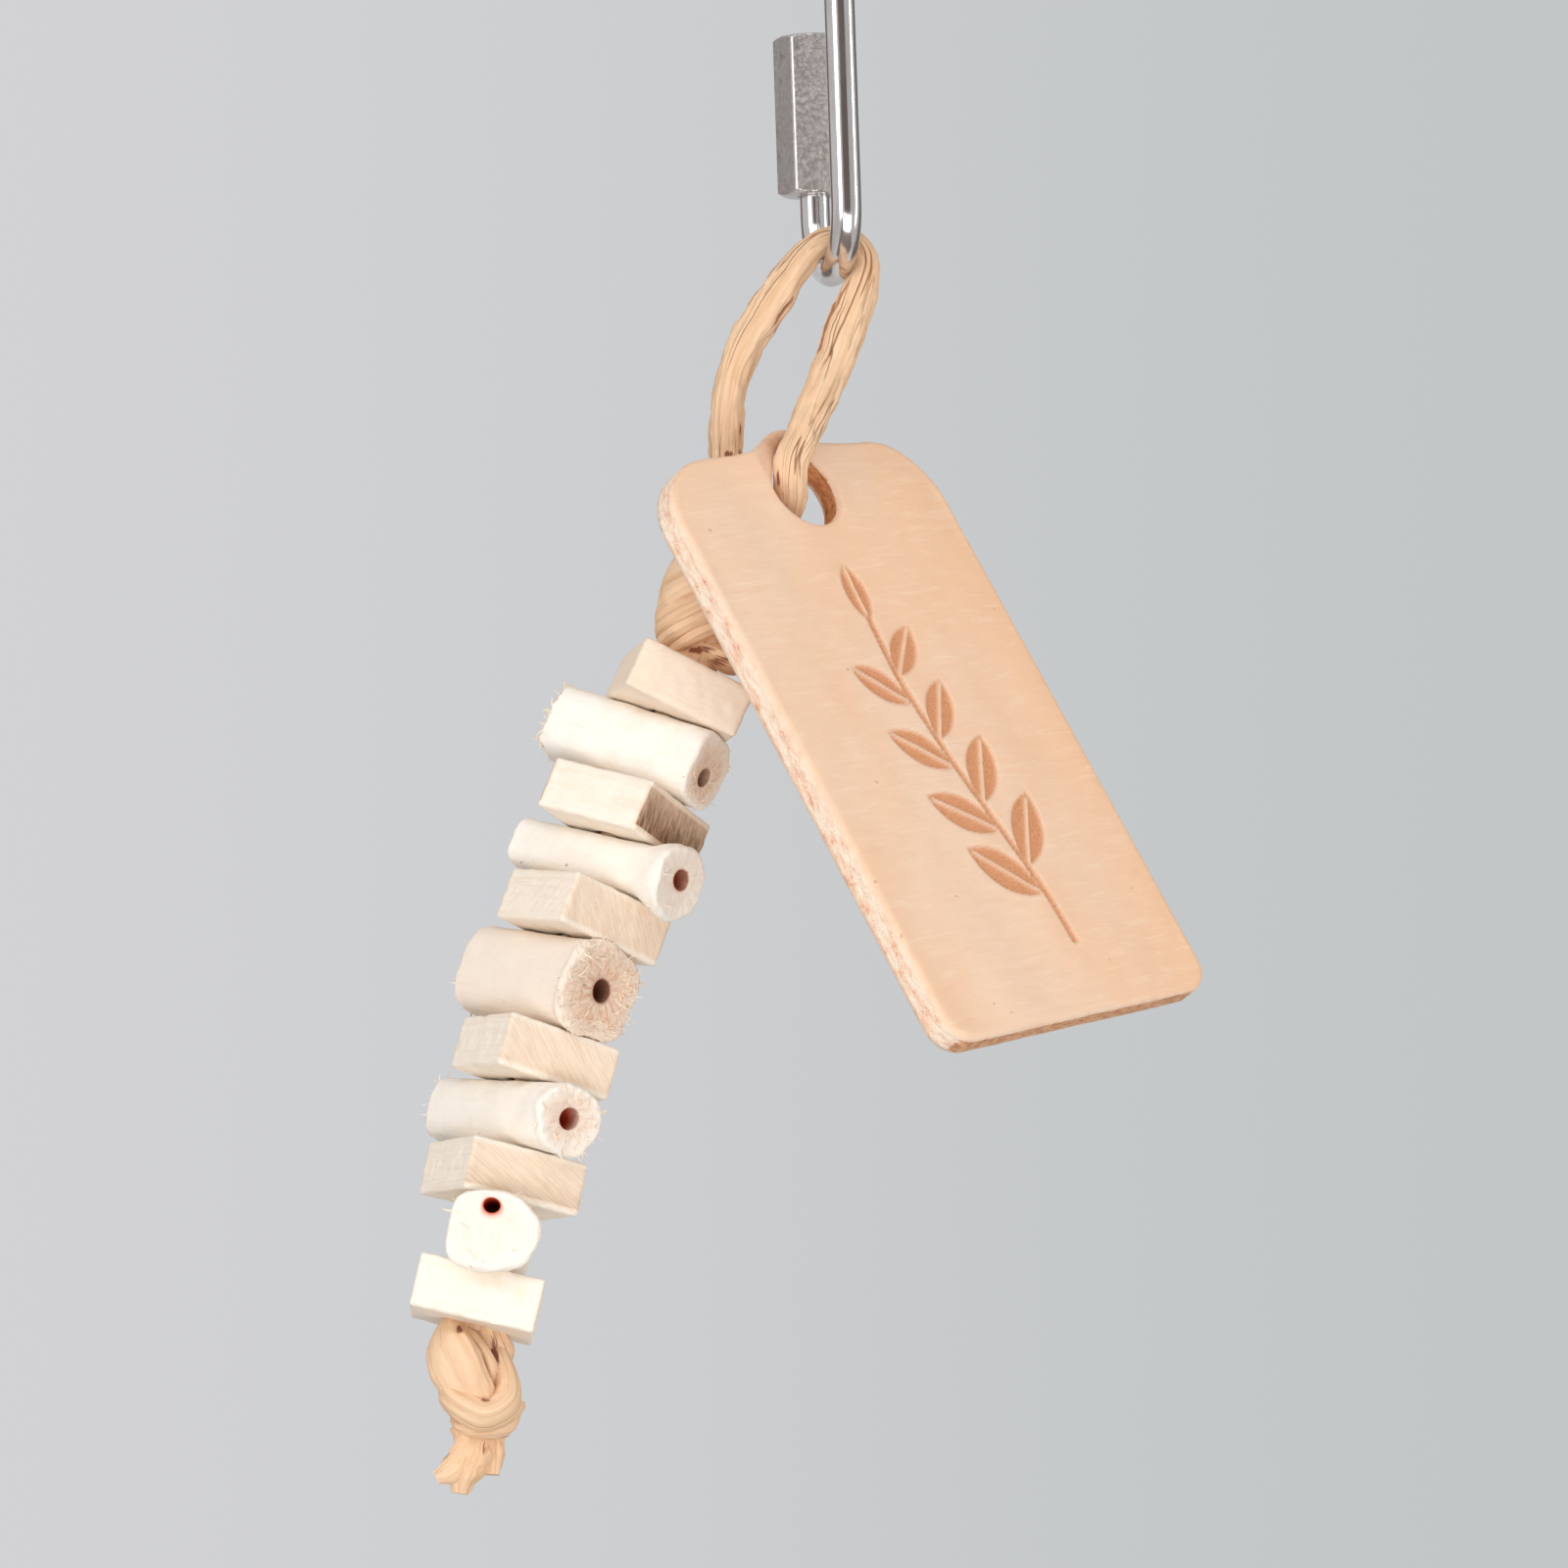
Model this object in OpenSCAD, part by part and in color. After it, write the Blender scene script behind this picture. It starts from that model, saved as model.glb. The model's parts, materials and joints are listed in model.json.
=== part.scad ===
// Sola chew toy for a pet bird. A screw link carries a loop of twisted paper cord,
// the loop carries a leather tag, and the cord below it is threaded through
// wood blocks and sticks of sola pith, between a knot above and a knot below.
// Millimetres, +Z up, origin where the link hangs: inside the top of its eye.

/* [Screw link] */
// Diameter of the bent rod
rod_d = 4; // [3:0.5:5]
// Outer length of the link
link_l = 56; // [50:1:80]
// Distance between the centres of the two legs
leg_span = 16; // [14:1:24]
// Length of the hexagon sleeve
sleeve_l = 21; // [16:1:26]
// Width of the sleeve across its flats
sleeve_af = 8.5; // [7:0.5:12]
// Height of the open sleeve's lower end above the foot of the link
sleeve_lift = 12.9; // [10.5:0.5:20]
// How far the lower leg's thread stops below the top of the open sleeve
thread_short = 1; // [0:0.5:4]
// Opening between the open sleeve and the end of the upper leg
gate_gap = 5.5; // [3:0.5:8]
// Gap between the sleeve's bore and the rod
sleeve_clear = 0.1; // [0.05:0.01:0.1]
// Turn of the sleeve on its leg, in degrees
sleeve_turn = -14; // [-30:1:30]
// Lean of the link to the left at its top, in degrees
link_lean = 2; // [0:1:10]
// Tip of the link to the front at its top, in degrees
link_tip = 13; // [0:1:20]
// Turn of the link about the vertical, in degrees
link_turn = 14; // [-45:1:45]

/* [Leather tag] */
// Width of the tag
tag_w = 50; // [35:1:60]
// Length of the tag
tag_l = 85; // [60:1:110]
// Thickness of the leather
tag_t = 4; // [2.5:0.5:5]
// Radius of the two corners beside the hole
tag_top_r = 11; // [2:0.5:14]
// Radius of the two corners at the free end
tag_low_r = 4; // [2:0.5:12]
// Diameter of the punched hole
tag_hole_d = 11; // [10:0.5:13]
// Distance of the hole's centre from the top edge
tag_hole_drop = 7; // [7:0.5:15]
// Turn of the tag about X, Y and Z, in degrees
tag_turn = [-22, -16, 45]; // [-90:1:90]
// Place of the hole's centre, measured from the link's foot
tag_place = [-4, -5.5, -31.4]; // [-60:0.5:20]

/* [Beads] */
// Side of a square wood block
block_w = 15.5; // [12:0.5:22]
// Height of a wood block along the cord
block_h = 6.8; // [5:0.1:10]
// Turn of each block on the cord, in degrees
block_turn = [14, -29, -52, -62, -64, 4];
// Diameter of each sola stick
sola_d = [9, 6, 11, 7.6, 7.2];
// Length of each sola stick
sola_l = [22, 26, 21.2, 26, 22];
// Distance of each stick's middle from the cord, along the stick
sola_shift = [-2.3, 0, -2.4, -1.5, 0];
// Turn of each sola stick on the cord, in degrees
sola_turn = [-24, -35, -44, -52, -88.5];
// Height of each stick's pith hole above its middle
pith_rise = [0, 0, 0, 0, 2];
// Diameter of the pith hole along a sola stick
pith_d = 2.2; // [1.5:0.1:3]
// Gap between the cord and the bore of a bead
bore_clear = 0.3; // [0.2:0.05:0.6]
// Gap between beads that lie square to each other
bead_gap = 0.25; // [0.2:0.05:0.5]

/* [Cord] */
// Diameter of the twisted cord in the loop and the knots
cord_d = 4; // [3.5:0.1:5]
// Diameter of the cord where it is drawn into the beads
core_d = 4; // [3:0.1:4.5]
// Place of the top knot's underside, measured from the link's foot
chain_place = [-18.7, 0, -54.2]; // [-80:0.5:20]
// Lean of each block to the right at its top, in degrees
chain_lean = [24, 21.5, 19, 15, 11, 12.5];
// Largest bend of the cord between a stick and the next block, in degrees
chain_flex = 4; // [4:0.5:8]
// Height of the top knot
top_knot_h = 13.5; // [10:0.5:18]
// Width of the top knot
top_knot_w = 14.5; // [12:0.5:18]
// Height of the bottom knot
low_knot_h = 12.5; // [10:0.5:18]
// Width of the bottom knot
low_knot_w = 13; // [10:0.5:16]
// Distance of the bottom knot's middle from the cord's line
low_knot_shift = 2.5; // [0:0.5:4]
// Length of the cut tail below the bottom knot
tail_l = 7; // [3:0.5:20]

/* [Hidden] */
$fn = 64;

steel = "#b4b0ae";
leather = "#f0caa8";
paper = "#e3b98a";
wood = "#f0dcc4";
pith = "#fbf3e8";

// Screw link: the bends' centres, the foot's centre and the two thread ends
bend_top_z = rod_d / 2 - leg_span / 2;
foot_z = rod_d * 1.5 - link_l;
bend_low_z = foot_z + leg_span / 2;
sleeve_low_z = foot_z - rod_d / 2 + sleeve_lift;
thread_low_z = sleeve_low_z + sleeve_l - thread_short;
thread_top_z = sleeve_low_z + sleeve_l + gate_gap;
// The link's own axes in the shared frame, and the lowest point of its lower bend
function tipped(v) =
    [v.x, v.y * cos(link_tip) - v.z * sin(link_tip), v.y * sin(link_tip) + v.z * cos(link_tip)];
link_side = tipped([cos(link_lean) * cos(link_turn), cos(link_lean) * sin(link_turn), sin(link_lean)]);
link_up = tipped([-sin(link_lean) * cos(link_turn), -sin(link_lean) * sin(link_turn), cos(link_lean)]);
foot = bend_low_z * link_up - leg_span / 2 * unit([0, 0, 1] - link_side[2] * link_side);

// Bead string: each stretch of cord carries a block and the stick below it
bore_d = core_d + 2 * bore_clear;
bead_reach = min(max(sola_l) / 2, block_w / sqrt(2));
flex_gap = bead_reach * sin(chain_flex) + bead_gap;
core_gap = core_d * sin(chain_flex) + 0.1;
last = len(block_turn) - 1;
function lead(i) = i == 0 ? bead_gap : flex_gap / 2;
function stick_room(i) = i == last ? 0 : sola_d[i] + flex_gap / 2;
function stretch(i) = lead(i) + block_h + bead_gap + stick_room(i);
function stretch_top(i) = i == 0 ? foot + chain_place
    : stretch_top(i - 1) - stretch(i - 1) * [sin(chain_lean[i - 1]), 0, cos(chain_lean[i - 1])];

// Route of the loop, measured from the link's foot: out of the top knot, up behind
// the tag, over the link's foot, down and through the tag's hole, back to the knot
loop_route = [
    [-14.2, 0.6, -44.5], [-14.4, 1.2, -38], [-14.5, 1.5, -31], [-14.4, 1.5, -24], [-13.8, 1.2, -17],
    [-12, 0.8, -11], [-9.2, 0.3, -5.5], [-6.4, 0, -0.8], [-3.8, 0, 3], [0, 0, 4.8], [3.2, 0, 3.5],
    [4.7, -0.1, 0.2], [3.7, -0.6, -3.4], [2.4, -1.3, -7.5], [0.6, -2.3, -12.2], [-1.4, -3.6, -16.8],
    [-3.2, -5.4, -21], [-4.6, -7.6, -25], [-5, -9, -28.6], [-4.7, -8, -31], [-5.6, -5.2, -33.1],
    [-7.2, -2.2, -34.6], [-9, 0, -37], [-10.6, 0.4, -40.5], [-11.6, 0.3, -44.5]
];
ring_sides = 10;
ring_steps = 2;

function spline(a, b, c, d, t) =
    (2 * b + (c - a) * t + (2 * a - 5 * b + 4 * c - d) * t * t + (3 * b - a - 3 * c + d) * t * t * t) / 2;
function route_point(route, i) = route[min(max(i, 0), len(route) - 1)];
function smooth(route, steps) = [
    for (i = [0 : len(route) - 2], s = [0 : steps - 1])
        spline(route_point(route, i - 1), route[i], route[i + 1], route_point(route, i + 2), s / steps),
    route[len(route) - 1]
];
function unit(v) = v / norm(v);
function headings(line) = [
    for (i = [0 : len(line) - 1]) unit(route_point(line, i + 1) - route_point(line, i - 1))
];
function square_to(v, heading) = unit(v - (v * heading) * heading);
// One sideways direction a ring, each turned as little as possible from the ring before
function sideways(dirs) = [
    for (i = 0, u = square_to([0, 1, 0], dirs[0]); i < len(dirs);
        i = i + 1, u = square_to(u, route_point(dirs, i))) u
];

module tube(route, d) {
    line = smooth(route, ring_steps);
    dirs = headings(line);
    sides = sideways(dirs);
    n = ring_sides;
    rings = len(line);
    points = [
        for (i = [0 : rings - 1], k = [0 : n - 1])
            line[i] + d / 2 * (cos(360 * k / n) * sides[i] + sin(360 * k / n) * cross(dirs[i], sides[i]))
    ];
    walls = [
        for (i = [0 : rings - 2], k = [0 : n - 1], half = [0, 1])
            let (a = i * n + k, b = i * n + (k + 1) % n)
                half == 0 ? [a, a + n, b + n] : [a, b + n, b]
    ];
    ends = [[for (k = [0 : n - 1]) k], [for (k = [n - 1 : -1 : 0]) (rings - 1) * n + k]];
    polyhedron(points, concat(walls, ends));
}

module link_frame() {
    rotate([link_tip, 0, 0]) rotate([0, -link_lean, link_turn]) children();
}

module stretch_frame(i) {
    translate(stretch_top(i)) rotate([0, chain_lean[i], 0]) children();
}

// Half ring in the link's own plane, standing on its ends
module rod_bend() {
    rotate([90, 0, 90]) rotate_extrude(angle = 180) translate([leg_span / 2, 0]) circle(d = rod_d);
}

module rod_leg(y, low, high) {
    translate([0, y, low]) cylinder(d = rod_d, h = high - low);
}

module link_body() {
    color(steel) link_frame() {
        translate([0, 0, bend_top_z]) rod_bend();
        translate([0, 0, bend_low_z]) mirror([0, 0, 1]) rod_bend();
        rod_leg(-leg_span / 2, bend_low_z, bend_top_z);
        rod_leg(leg_span / 2, bend_low_z, thread_low_z);
        rod_leg(leg_span / 2, thread_top_z, bend_top_z);
    }
}

module link_sleeve() {
    color(steel) link_frame() translate([0, leg_span / 2, sleeve_low_z]) difference() {
        rotate(sleeve_turn) cylinder(d = sleeve_af / cos(30), h = sleeve_l, $fn = 6);
        translate([0, 0, -1]) cylinder(d = rod_d + 2 * sleeve_clear, h = sleeve_l + 2);
    }
}

// Outline of the tag around its hole's centre
module tag_outline() {
    low = tag_hole_drop - tag_l;
    translate([-tag_w / 2, low + tag_low_r]) square([tag_w, tag_l - tag_low_r - tag_top_r]);
    translate([tag_top_r - tag_w / 2, low + tag_low_r]) square([tag_w - 2 * tag_top_r, tag_l - tag_low_r]);
    translate([tag_low_r - tag_w / 2, low]) square([tag_w - 2 * tag_low_r, tag_l - tag_top_r]);
    for (side = [-1, 1]) {
        translate([side * (tag_w / 2 - tag_top_r), tag_hole_drop - tag_top_r]) circle(tag_top_r);
        translate([side * (tag_w / 2 - tag_low_r), low + tag_low_r]) circle(tag_low_r);
    }
}

module leather_tag() {
    color(leather) translate(foot + tag_place) rotate(tag_turn) translate([0, tag_t, 0]) rotate([90, 0, 0])
        difference() {
            linear_extrude(tag_t) tag_outline();
            translate([0, 0, -1]) cylinder(d = tag_hole_d, h = tag_t + 2);
        }
}

module cord_loop() {
    color(paper) translate(foot) tube(loop_route, cord_d);
}

// A turn of cord laid around the knot's middle
module knot_turn(width, tilt) {
    rotate(tilt) rotate_extrude() translate([(width - cord_d) / 2, 0]) circle(d = cord_d);
}

module top_knot() {
    color(paper) stretch_frame(0) intersection() {
        translate([0, 0, top_knot_h / 2]) {
            sphere(d = top_knot_w - cord_d);
            translate([0, 0, 1.5]) knot_turn(top_knot_w - 1, [0, 24, 0]);
            translate([0, 0, -2]) knot_turn(top_knot_w, [14, -20, 0]);
            knot_turn(top_knot_h, [78, 0, 30]);
            translate([0, 0, -top_knot_h / 2]) cylinder(d = core_d + 4, h = top_knot_h / 2);
        }
        cylinder(d = 2 * top_knot_w, h = 2 * top_knot_h);
    }
}

module bottom_knot() {
    color(paper) stretch_frame(last) translate([0, 0, -stretch(last)]) intersection() {
        union() {
            translate([0, 0, -low_knot_h / 2]) cylinder(d = core_d + 3, h = low_knot_h / 2);
            translate([low_knot_shift, 0, -low_knot_h / 2]) {
                sphere(d = low_knot_w - cord_d);
                translate([0, 0, 1]) knot_turn(low_knot_w, [10, 32, 0]);
                translate([0, 0, -1]) knot_turn(low_knot_h, [80, 0, -50]);
                rotate([0, -chain_lean[last] / 2, 0]) translate([0, 0, -low_knot_h / 2 - tail_l])
                    cylinder(d = cord_d, h = low_knot_h / 2 + tail_l);
            }
        }
        translate([0, 0, -2 * low_knot_h - tail_l]) cylinder(d = 4 * low_knot_w, h = 2 * low_knot_h + tail_l);
    }
}

module cord_core(i) {
    top = i == 0 ? 0 : core_gap / 2;
    low = stretch(i) - (i == last ? 0 : core_gap / 2);
    color(paper) stretch_frame(i) translate([0, 0, -low]) cylinder(d = core_d, h = low - top);
}

module wood_block(i) {
    color(wood) stretch_frame(i) translate([0, 0, -lead(i) - block_h / 2]) difference() {
        rotate(block_turn[i]) cube([block_w, block_w, block_h], center = true);
        cylinder(d = bore_d, h = block_h + 2, center = true);
    }
}

module sola_stick(i) {
    low = lead(i) + block_h + bead_gap;
    color(pith) stretch_frame(i) translate([0, 0, -low - sola_d[i] / 2]) difference() {
        rotate([0, 90, sola_turn[i]]) translate([0, 0, sola_shift[i]])
            cylinder(d = sola_d[i], h = sola_l[i], center = true);
        translate([0, 0, pith_rise[i]]) rotate([0, 90, sola_turn[i]])
            cylinder(d = pith_d, h = 2 * sola_l[i], center = true);
        cylinder(d = bore_d, h = sola_d[i] + 2, center = true);
    }
}

link_body();
link_sleeve();
leather_tag();
cord_loop();
top_knot();
bottom_knot();
for (i = [0 : last]) {
    cord_core(i);
    wood_block(i);
}
for (i = [0 : len(sola_d) - 1]) {
    sola_stick(i);
}
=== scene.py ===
# %% [markdown]
# # A sola chew toy for a pet bird
# The toy hangs from a steel screw link. A loop of twisted kraft paper goes over the link's foot, through a
# leather tag and into a knot, and below the knot six wood blocks and five sticks of sola pith take turns on
# the cord. The CAD model gives every place and size, and this script dresses it. All of it is in the CAD
# model's frame, so a piece is built where it belongs and never moved.

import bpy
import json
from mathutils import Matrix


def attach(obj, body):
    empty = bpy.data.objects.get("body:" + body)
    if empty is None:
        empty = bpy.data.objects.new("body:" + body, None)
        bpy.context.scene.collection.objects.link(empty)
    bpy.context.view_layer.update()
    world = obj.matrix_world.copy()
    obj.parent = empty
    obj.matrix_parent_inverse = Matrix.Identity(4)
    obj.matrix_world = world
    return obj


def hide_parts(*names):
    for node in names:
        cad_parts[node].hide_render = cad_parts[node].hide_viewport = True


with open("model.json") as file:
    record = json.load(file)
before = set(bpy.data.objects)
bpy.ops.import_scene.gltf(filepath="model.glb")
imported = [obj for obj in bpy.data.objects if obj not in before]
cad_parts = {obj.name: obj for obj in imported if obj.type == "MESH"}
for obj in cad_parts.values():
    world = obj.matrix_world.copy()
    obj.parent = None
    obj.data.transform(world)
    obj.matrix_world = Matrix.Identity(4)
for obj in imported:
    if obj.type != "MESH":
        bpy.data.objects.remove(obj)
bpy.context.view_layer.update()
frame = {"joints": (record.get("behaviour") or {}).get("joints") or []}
joints = {joint["name"]: joint for joint in frame["joints"]}

# %% [markdown]
# ## The camera
# The photograph looks up at the toy by 13.5 degrees from about 0.6 m, through a long lens. Those numbers
# came from fitting the blocks and the tag's outline, so the camera is set from them and needs no shift.

# %% Camera
import json
import math
import bpy
import numpy as np
from mathutils import Euler, Vector

MM = 0.001
scene = bpy.context.scene
PHOTO_WIDE, FOCAL, SENSOR = 1600, 4830, 36  # pixels, pixels, millimetres
aim, reach, tilt = Vector((-4.66, 9.32, -118.02)) * MM, 600 * MM, math.radians(13.5)
camera = bpy.data.objects.new("camera", bpy.data.cameras.new("camera"))
camera.location = aim - reach * Vector((0, math.cos(tilt), math.sin(tilt)))
camera.rotation_euler = (math.radians(90) + tilt, 0, 0)
camera.data.sensor_width, camera.data.lens = SENSOR, SENSOR * FOCAL / PHOTO_WIDE
camera.data.clip_start = 0.01
scene.collection.objects.link(camera)
scene.camera = camera
print("camera at", [round(v, 3) for v in camera.location])

# %% [markdown]
# ## Shader maths as Python
# Materials are easier to read as expressions than as boxes and wires. A Socket stands for one output of a
# node, and adding or multiplying Sockets adds Math nodes. Every other node comes from one method, which
# takes the node's type, what goes into its sockets and its settings.

# %% Sockets
class Socket:
    """One output of a node, usable in + - * expressions."""

    def __init__(self, nodes, socket):
        self.nodes, self.socket = nodes, socket

    def math(self, operation, first, second):
        return self.nodes.add("ShaderNodeMath", {0: first, 1: second}, operation=operation)

    def __add__(self, other): return self.math("ADD", self, other)
    def __radd__(self, other): return self.math("ADD", other, self)
    def __sub__(self, other): return self.math("SUBTRACT", self, other)
    def __rsub__(self, other): return self.math("SUBTRACT", other, self)
    def __mul__(self, other): return self.math("MULTIPLY", self, other)
    def __rmul__(self, other): return self.math("MULTIPLY", other, self)


print("sockets ready")

# %% Node trees and colours
def colour(red, green, blue):
    """A screen colour from 0 to 255 as the linear colour that a shader takes."""
    lin = [v / 255 / 12.92 if v <= 10 else ((v / 255 + 0.055) / 1.055) ** 2.4 for v in (red, green, blue)]
    return (*lin, 1)


class Nodes:
    """A node tree that is being written."""

    def __init__(self, tree):
        self.tree = tree

    def add(self, kind, inputs={}, output=0, **settings):
        node = self.tree.nodes.new(kind)
        for name, value in settings.items():
            setattr(node, name, value)
        for key, value in inputs.items():
            self.feed(node.inputs[key], value)
        return Socket(self, node.outputs[output])

    def feed(self, socket, value):
        if isinstance(value, Socket):
            self.tree.links.new(value.socket, socket)
        else:
            socket.default_value = value

    def mix(self, share, first, second):
        """Two colours mixed. Each is a Socket, a screen colour of three numbers or a linear one of four."""
        first, second = (colour(*v) if isinstance(v, tuple) and len(v) == 3 else v for v in (first, second))
        return self.add("ShaderNodeMix", {0: share, 6: first, 7: second}, output=2, data_type="RGBA")

    def attribute(self, name, output=1):
        return self.add("ShaderNodeAttribute", output=output, attribute_name=name)

    def values_of(self, *names):
        return [self.attribute(name, output=2) for name in names]

    def cloud(self, vector, stretch=None, shift=(0, 0, 0), scale=1.0, detail=4.0, rough=0.55, wander=0.0):
        """Noise at a place, which can be stretched and shifted first."""
        if stretch:
            inputs = {0: vector, 1: stretch, 2: shift}
            vector = self.add("ShaderNodeVectorMath", inputs, operation="MULTIPLY_ADD")
        return self.add("ShaderNodeTexNoise", {
            "Vector": vector, "Scale": scale, "Detail": detail, "Roughness": rough, "Distortion": wander})

    def ramp(self, value, low, high):
        """0 where the value is under low, 1 where it is over high, smooth between."""
        inputs = {"Value": value, "From Min": low, "From Max": high}
        return self.add("ShaderNodeMapRange", inputs, interpolation_type="SMOOTHSTEP")


print("white is", colour(255, 255, 255))

# %% Finishes
class Finish(Nodes):
    """A material with a Principled BSDF."""

    def __init__(self, name):
        self.material = bpy.data.materials.new(name)
        self.material.use_nodes = True
        super().__init__(self.material.node_tree)
        self.shader, self.tone = self.tree.nodes["Principled BSDF"], None
        self.place = self.add("ShaderNodeTexCoord", output=3)

    def tint(self, share, over):
        """Lays a colour over the tone so far."""
        self.tone = self.mix(share, self.tone, over)

    def surface(self, height=None, depth=0.0, **sockets):
        """Sets the tone, other sockets by name, with _ for a space, and a bump as deep, in millimetres."""
        sockets.setdefault("Base_Color", self.tone)
        if height is not None:
            bump = {"Height": height, "Distance": depth * MM, "Strength": 1.0}
            sockets["Normal"] = self.add("ShaderNodeBump", bump)
        for name, value in sockets.items():
            self.feed(self.shader.inputs[name.replace("_", " ")], value)
        print("finish", self.material.name)
        return self.material


print("finish maker ready")

# %% [markdown]
# ## Helpers for meshes
# Paper, pith and leather are never quite even, so many shapes here are a plain form plus slow swells. A few
# sine waves in random directions, with a fixed seed, give such swells for any set of points at once. A mesh
# carries named values on its points, such as how near a fold is, and the finishes read them.

# %% Swells and places
def unit(vectors):
    vectors = np.asarray(vectors, float)
    return vectors / np.linalg.norm(vectors, axis=-1, keepdims=True)


def swells(points, size, seed, waves=14):
    """An uneven number, mostly from -1 to 1, at each point, with swells about that many millimetres long."""
    rng = np.random.default_rng(seed)
    ways = unit(rng.normal(size=(waves, 3))) * 2 * np.pi / size * rng.uniform(0.6, 1.5, (waves, 1))
    return np.sin(points @ ways.T + rng.uniform(0, 2 * np.pi, waves)).sum(-1) * 0.8 / math.sqrt(waves)


def stacked(*parts):
    """Coordinates side by side, each spread to the shape of them all."""
    return np.stack(np.broadcast_arrays(*parts), -1)


def placed(own, origin, *axes):
    """Points of the frame, from measures along three axes at an origin."""
    return origin + own @ np.array(axes)


def held(value):
    """The value, but no lower than 0 and no higher than 1."""
    return np.clip(value, 0, 1)


def circle(sides):
    """Angles of evenly spaced points round a circle."""
    return np.linspace(0, 2 * np.pi, sides, endpoint=False)


def eased(share):
    """A share from 0 to 1 that starts and stops gently."""
    return share * share * (3 - 2 * share)


print("swells at two places", swells(np.array([(0, 0, 0), (9, 0, 0)]), 5, 1).round(2))

# %% Lines and tubes
def smooth_line(points, step):
    """Evenly spaced points on a smooth line through the given ones, and how far along each is."""
    p = np.asarray(points, float)
    p = np.vstack([p[:1], p, p[-1:]])
    t = np.linspace(0, 1, 40, endpoint=False)[:, None]
    runs = [(2 * b + (c - a) * t + (2 * a - 5 * b + 4 * c - d) * t ** 2
             + (3 * b - a - 3 * c + d) * t ** 3) / 2 for a, b, c, d in zip(p, p[1:], p[2:], p[3:])]
    fine = np.vstack(runs + [p[-1:]])
    far = np.concatenate([[0], np.cumsum(np.linalg.norm(np.diff(fine, axis=0), axis=1))])
    at = np.linspace(0, far[-1], max(int(far[-1] / step), 8) + 1)
    return np.stack([np.interp(at, far, fine[:, k]) for k in range(3)], 1), at


def ring_faces(rings, sides, closed=False):
    """Quads that join each ring of points to the next one."""
    k, j = np.meshgrid(np.arange(rings if closed else rings - 1), np.arange(sides), indexing="ij")
    here, there = k * sides, (k + 1) % rings * sides
    turn = (j + 1) % sides
    return np.stack([here + j, here + turn, there + turn, there + j], -1).reshape(-1, 4).tolist()


def tube(ring, line):
    """Points and faces of a tube round a line, with a fan of triangles on the line at each end."""
    rings, sides = ring.shape[:2]
    last, middle = (rings - 1) * sides, rings * sides
    fans = [(middle, (j + 1) % sides, j) for j in range(sides)]
    fans += [(middle + 1, last + j, last + (j + 1) % sides) for j in range(sides)]
    return np.vstack([ring.reshape(-1, 3), line[:1], line[-1:]]), ring_faces(rings, sides) + fans


print("faces between three rings of four points", len(ring_faces(3, 4)))

# %% Pieces and joints
def make_piece(name, points, faces, finish, values={}, crisp=40):
    """A mesh object from points in millimetres, with named values on its points."""
    mesh = bpy.data.meshes.new(name)
    mesh.from_pydata((np.asarray(points) * MM).tolist(), [], faces)
    for key, value in values.items():
        value = np.asarray(value, np.float32)
        kind, field = ("FLOAT", "value") if value.ndim == 1 else ("FLOAT_VECTOR", "vector")
        mesh.attributes.new(key, kind, "POINT").data.foreach_set(field, value.ravel())
    mesh.shade_smooth()
    mesh.set_sharp_from_angle(angle=math.radians(crisp))
    mesh.materials.append(finish)
    piece = bpy.data.objects.new(name, mesh)
    scene.collection.objects.link(piece)
    return piece


def dress(piece, body, slot, *nodes):
    """Says which body carries a piece and hides the CAD nodes it stands for. The slot is not used."""
    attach(piece, body)
    if nodes:
        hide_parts(*nodes)
    print(piece.name, "on", body, "faces", len(piece.data.polygons))


def spot(joint):
    return np.array(joints[joint]["pos_m"]) / MM


def axis(joint):
    return np.array(joints[joint]["axis"], float)


foot = spot("loop_swing")
print("link's foot at", foot.round(2))

# %% [markdown]
# ## Studio
# The photograph has a plain pale grey ground and soft light from the front, most of it from the left and
# from below, and its polished rod shows bright lines with dark ones between them. An even world and four
# soft boxes do that: one high, one low and a strip on each side. A dim screen, seen only in the metal,
# stands for the dark room, and a weak box behind, unseen in the metal, keeps the toy's back from going
# dark. The ground is the world itself. The floor takes no part in lighting the toy, so it can be pale.

# %% World
scene.view_settings.view_transform = "Standard"
scene.world = bpy.data.worlds.new("studio")
scene.world.use_nodes = True
sky = Nodes(scene.world.node_tree)
seen = sky.add("ShaderNodeLightPath") + sky.add("ShaderNodeLightPath", output=3)
seen = seen + sky.add("ShaderNodeLightPath", output=6)
way = sky.add("ShaderNodeSeparateXYZ", {0: sky.add("ShaderNodeTexCoord")})
ground = sky.mix(sky.ramp(way, -0.2, 0.2), (211, 211, 213), (193, 197, 198))
even = sky.add("ShaderNodeBackground", {"Color": (1, 0.985, 0.965, 1), "Strength": 0.41})
ground = sky.add("ShaderNodeBackground", {"Color": ground, "Strength": 1.0})
studio = sky.add("ShaderNodeMixShader", {0: seen, 1: even, 2: ground})
sky.feed(sky.tree.nodes["World Output"].inputs[0], studio)
print("world", scene.world.name)

# %% Lamps
def soft_box(name, place, size, power):
    lamp = bpy.data.objects.new(name, bpy.data.lights.new(name, "AREA"))
    lamp.data.shape, lamp.data.energy = "RECTANGLE", power
    lamp.data.size, lamp.data.size_y = size
    lamp.location = place
    lamp.rotation_euler = (aim - Vector(place)).to_track_quat("-Z", "Y").to_euler()
    lamp.visible_camera = False
    scene.collection.objects.link(lamp)
    return lamp


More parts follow.
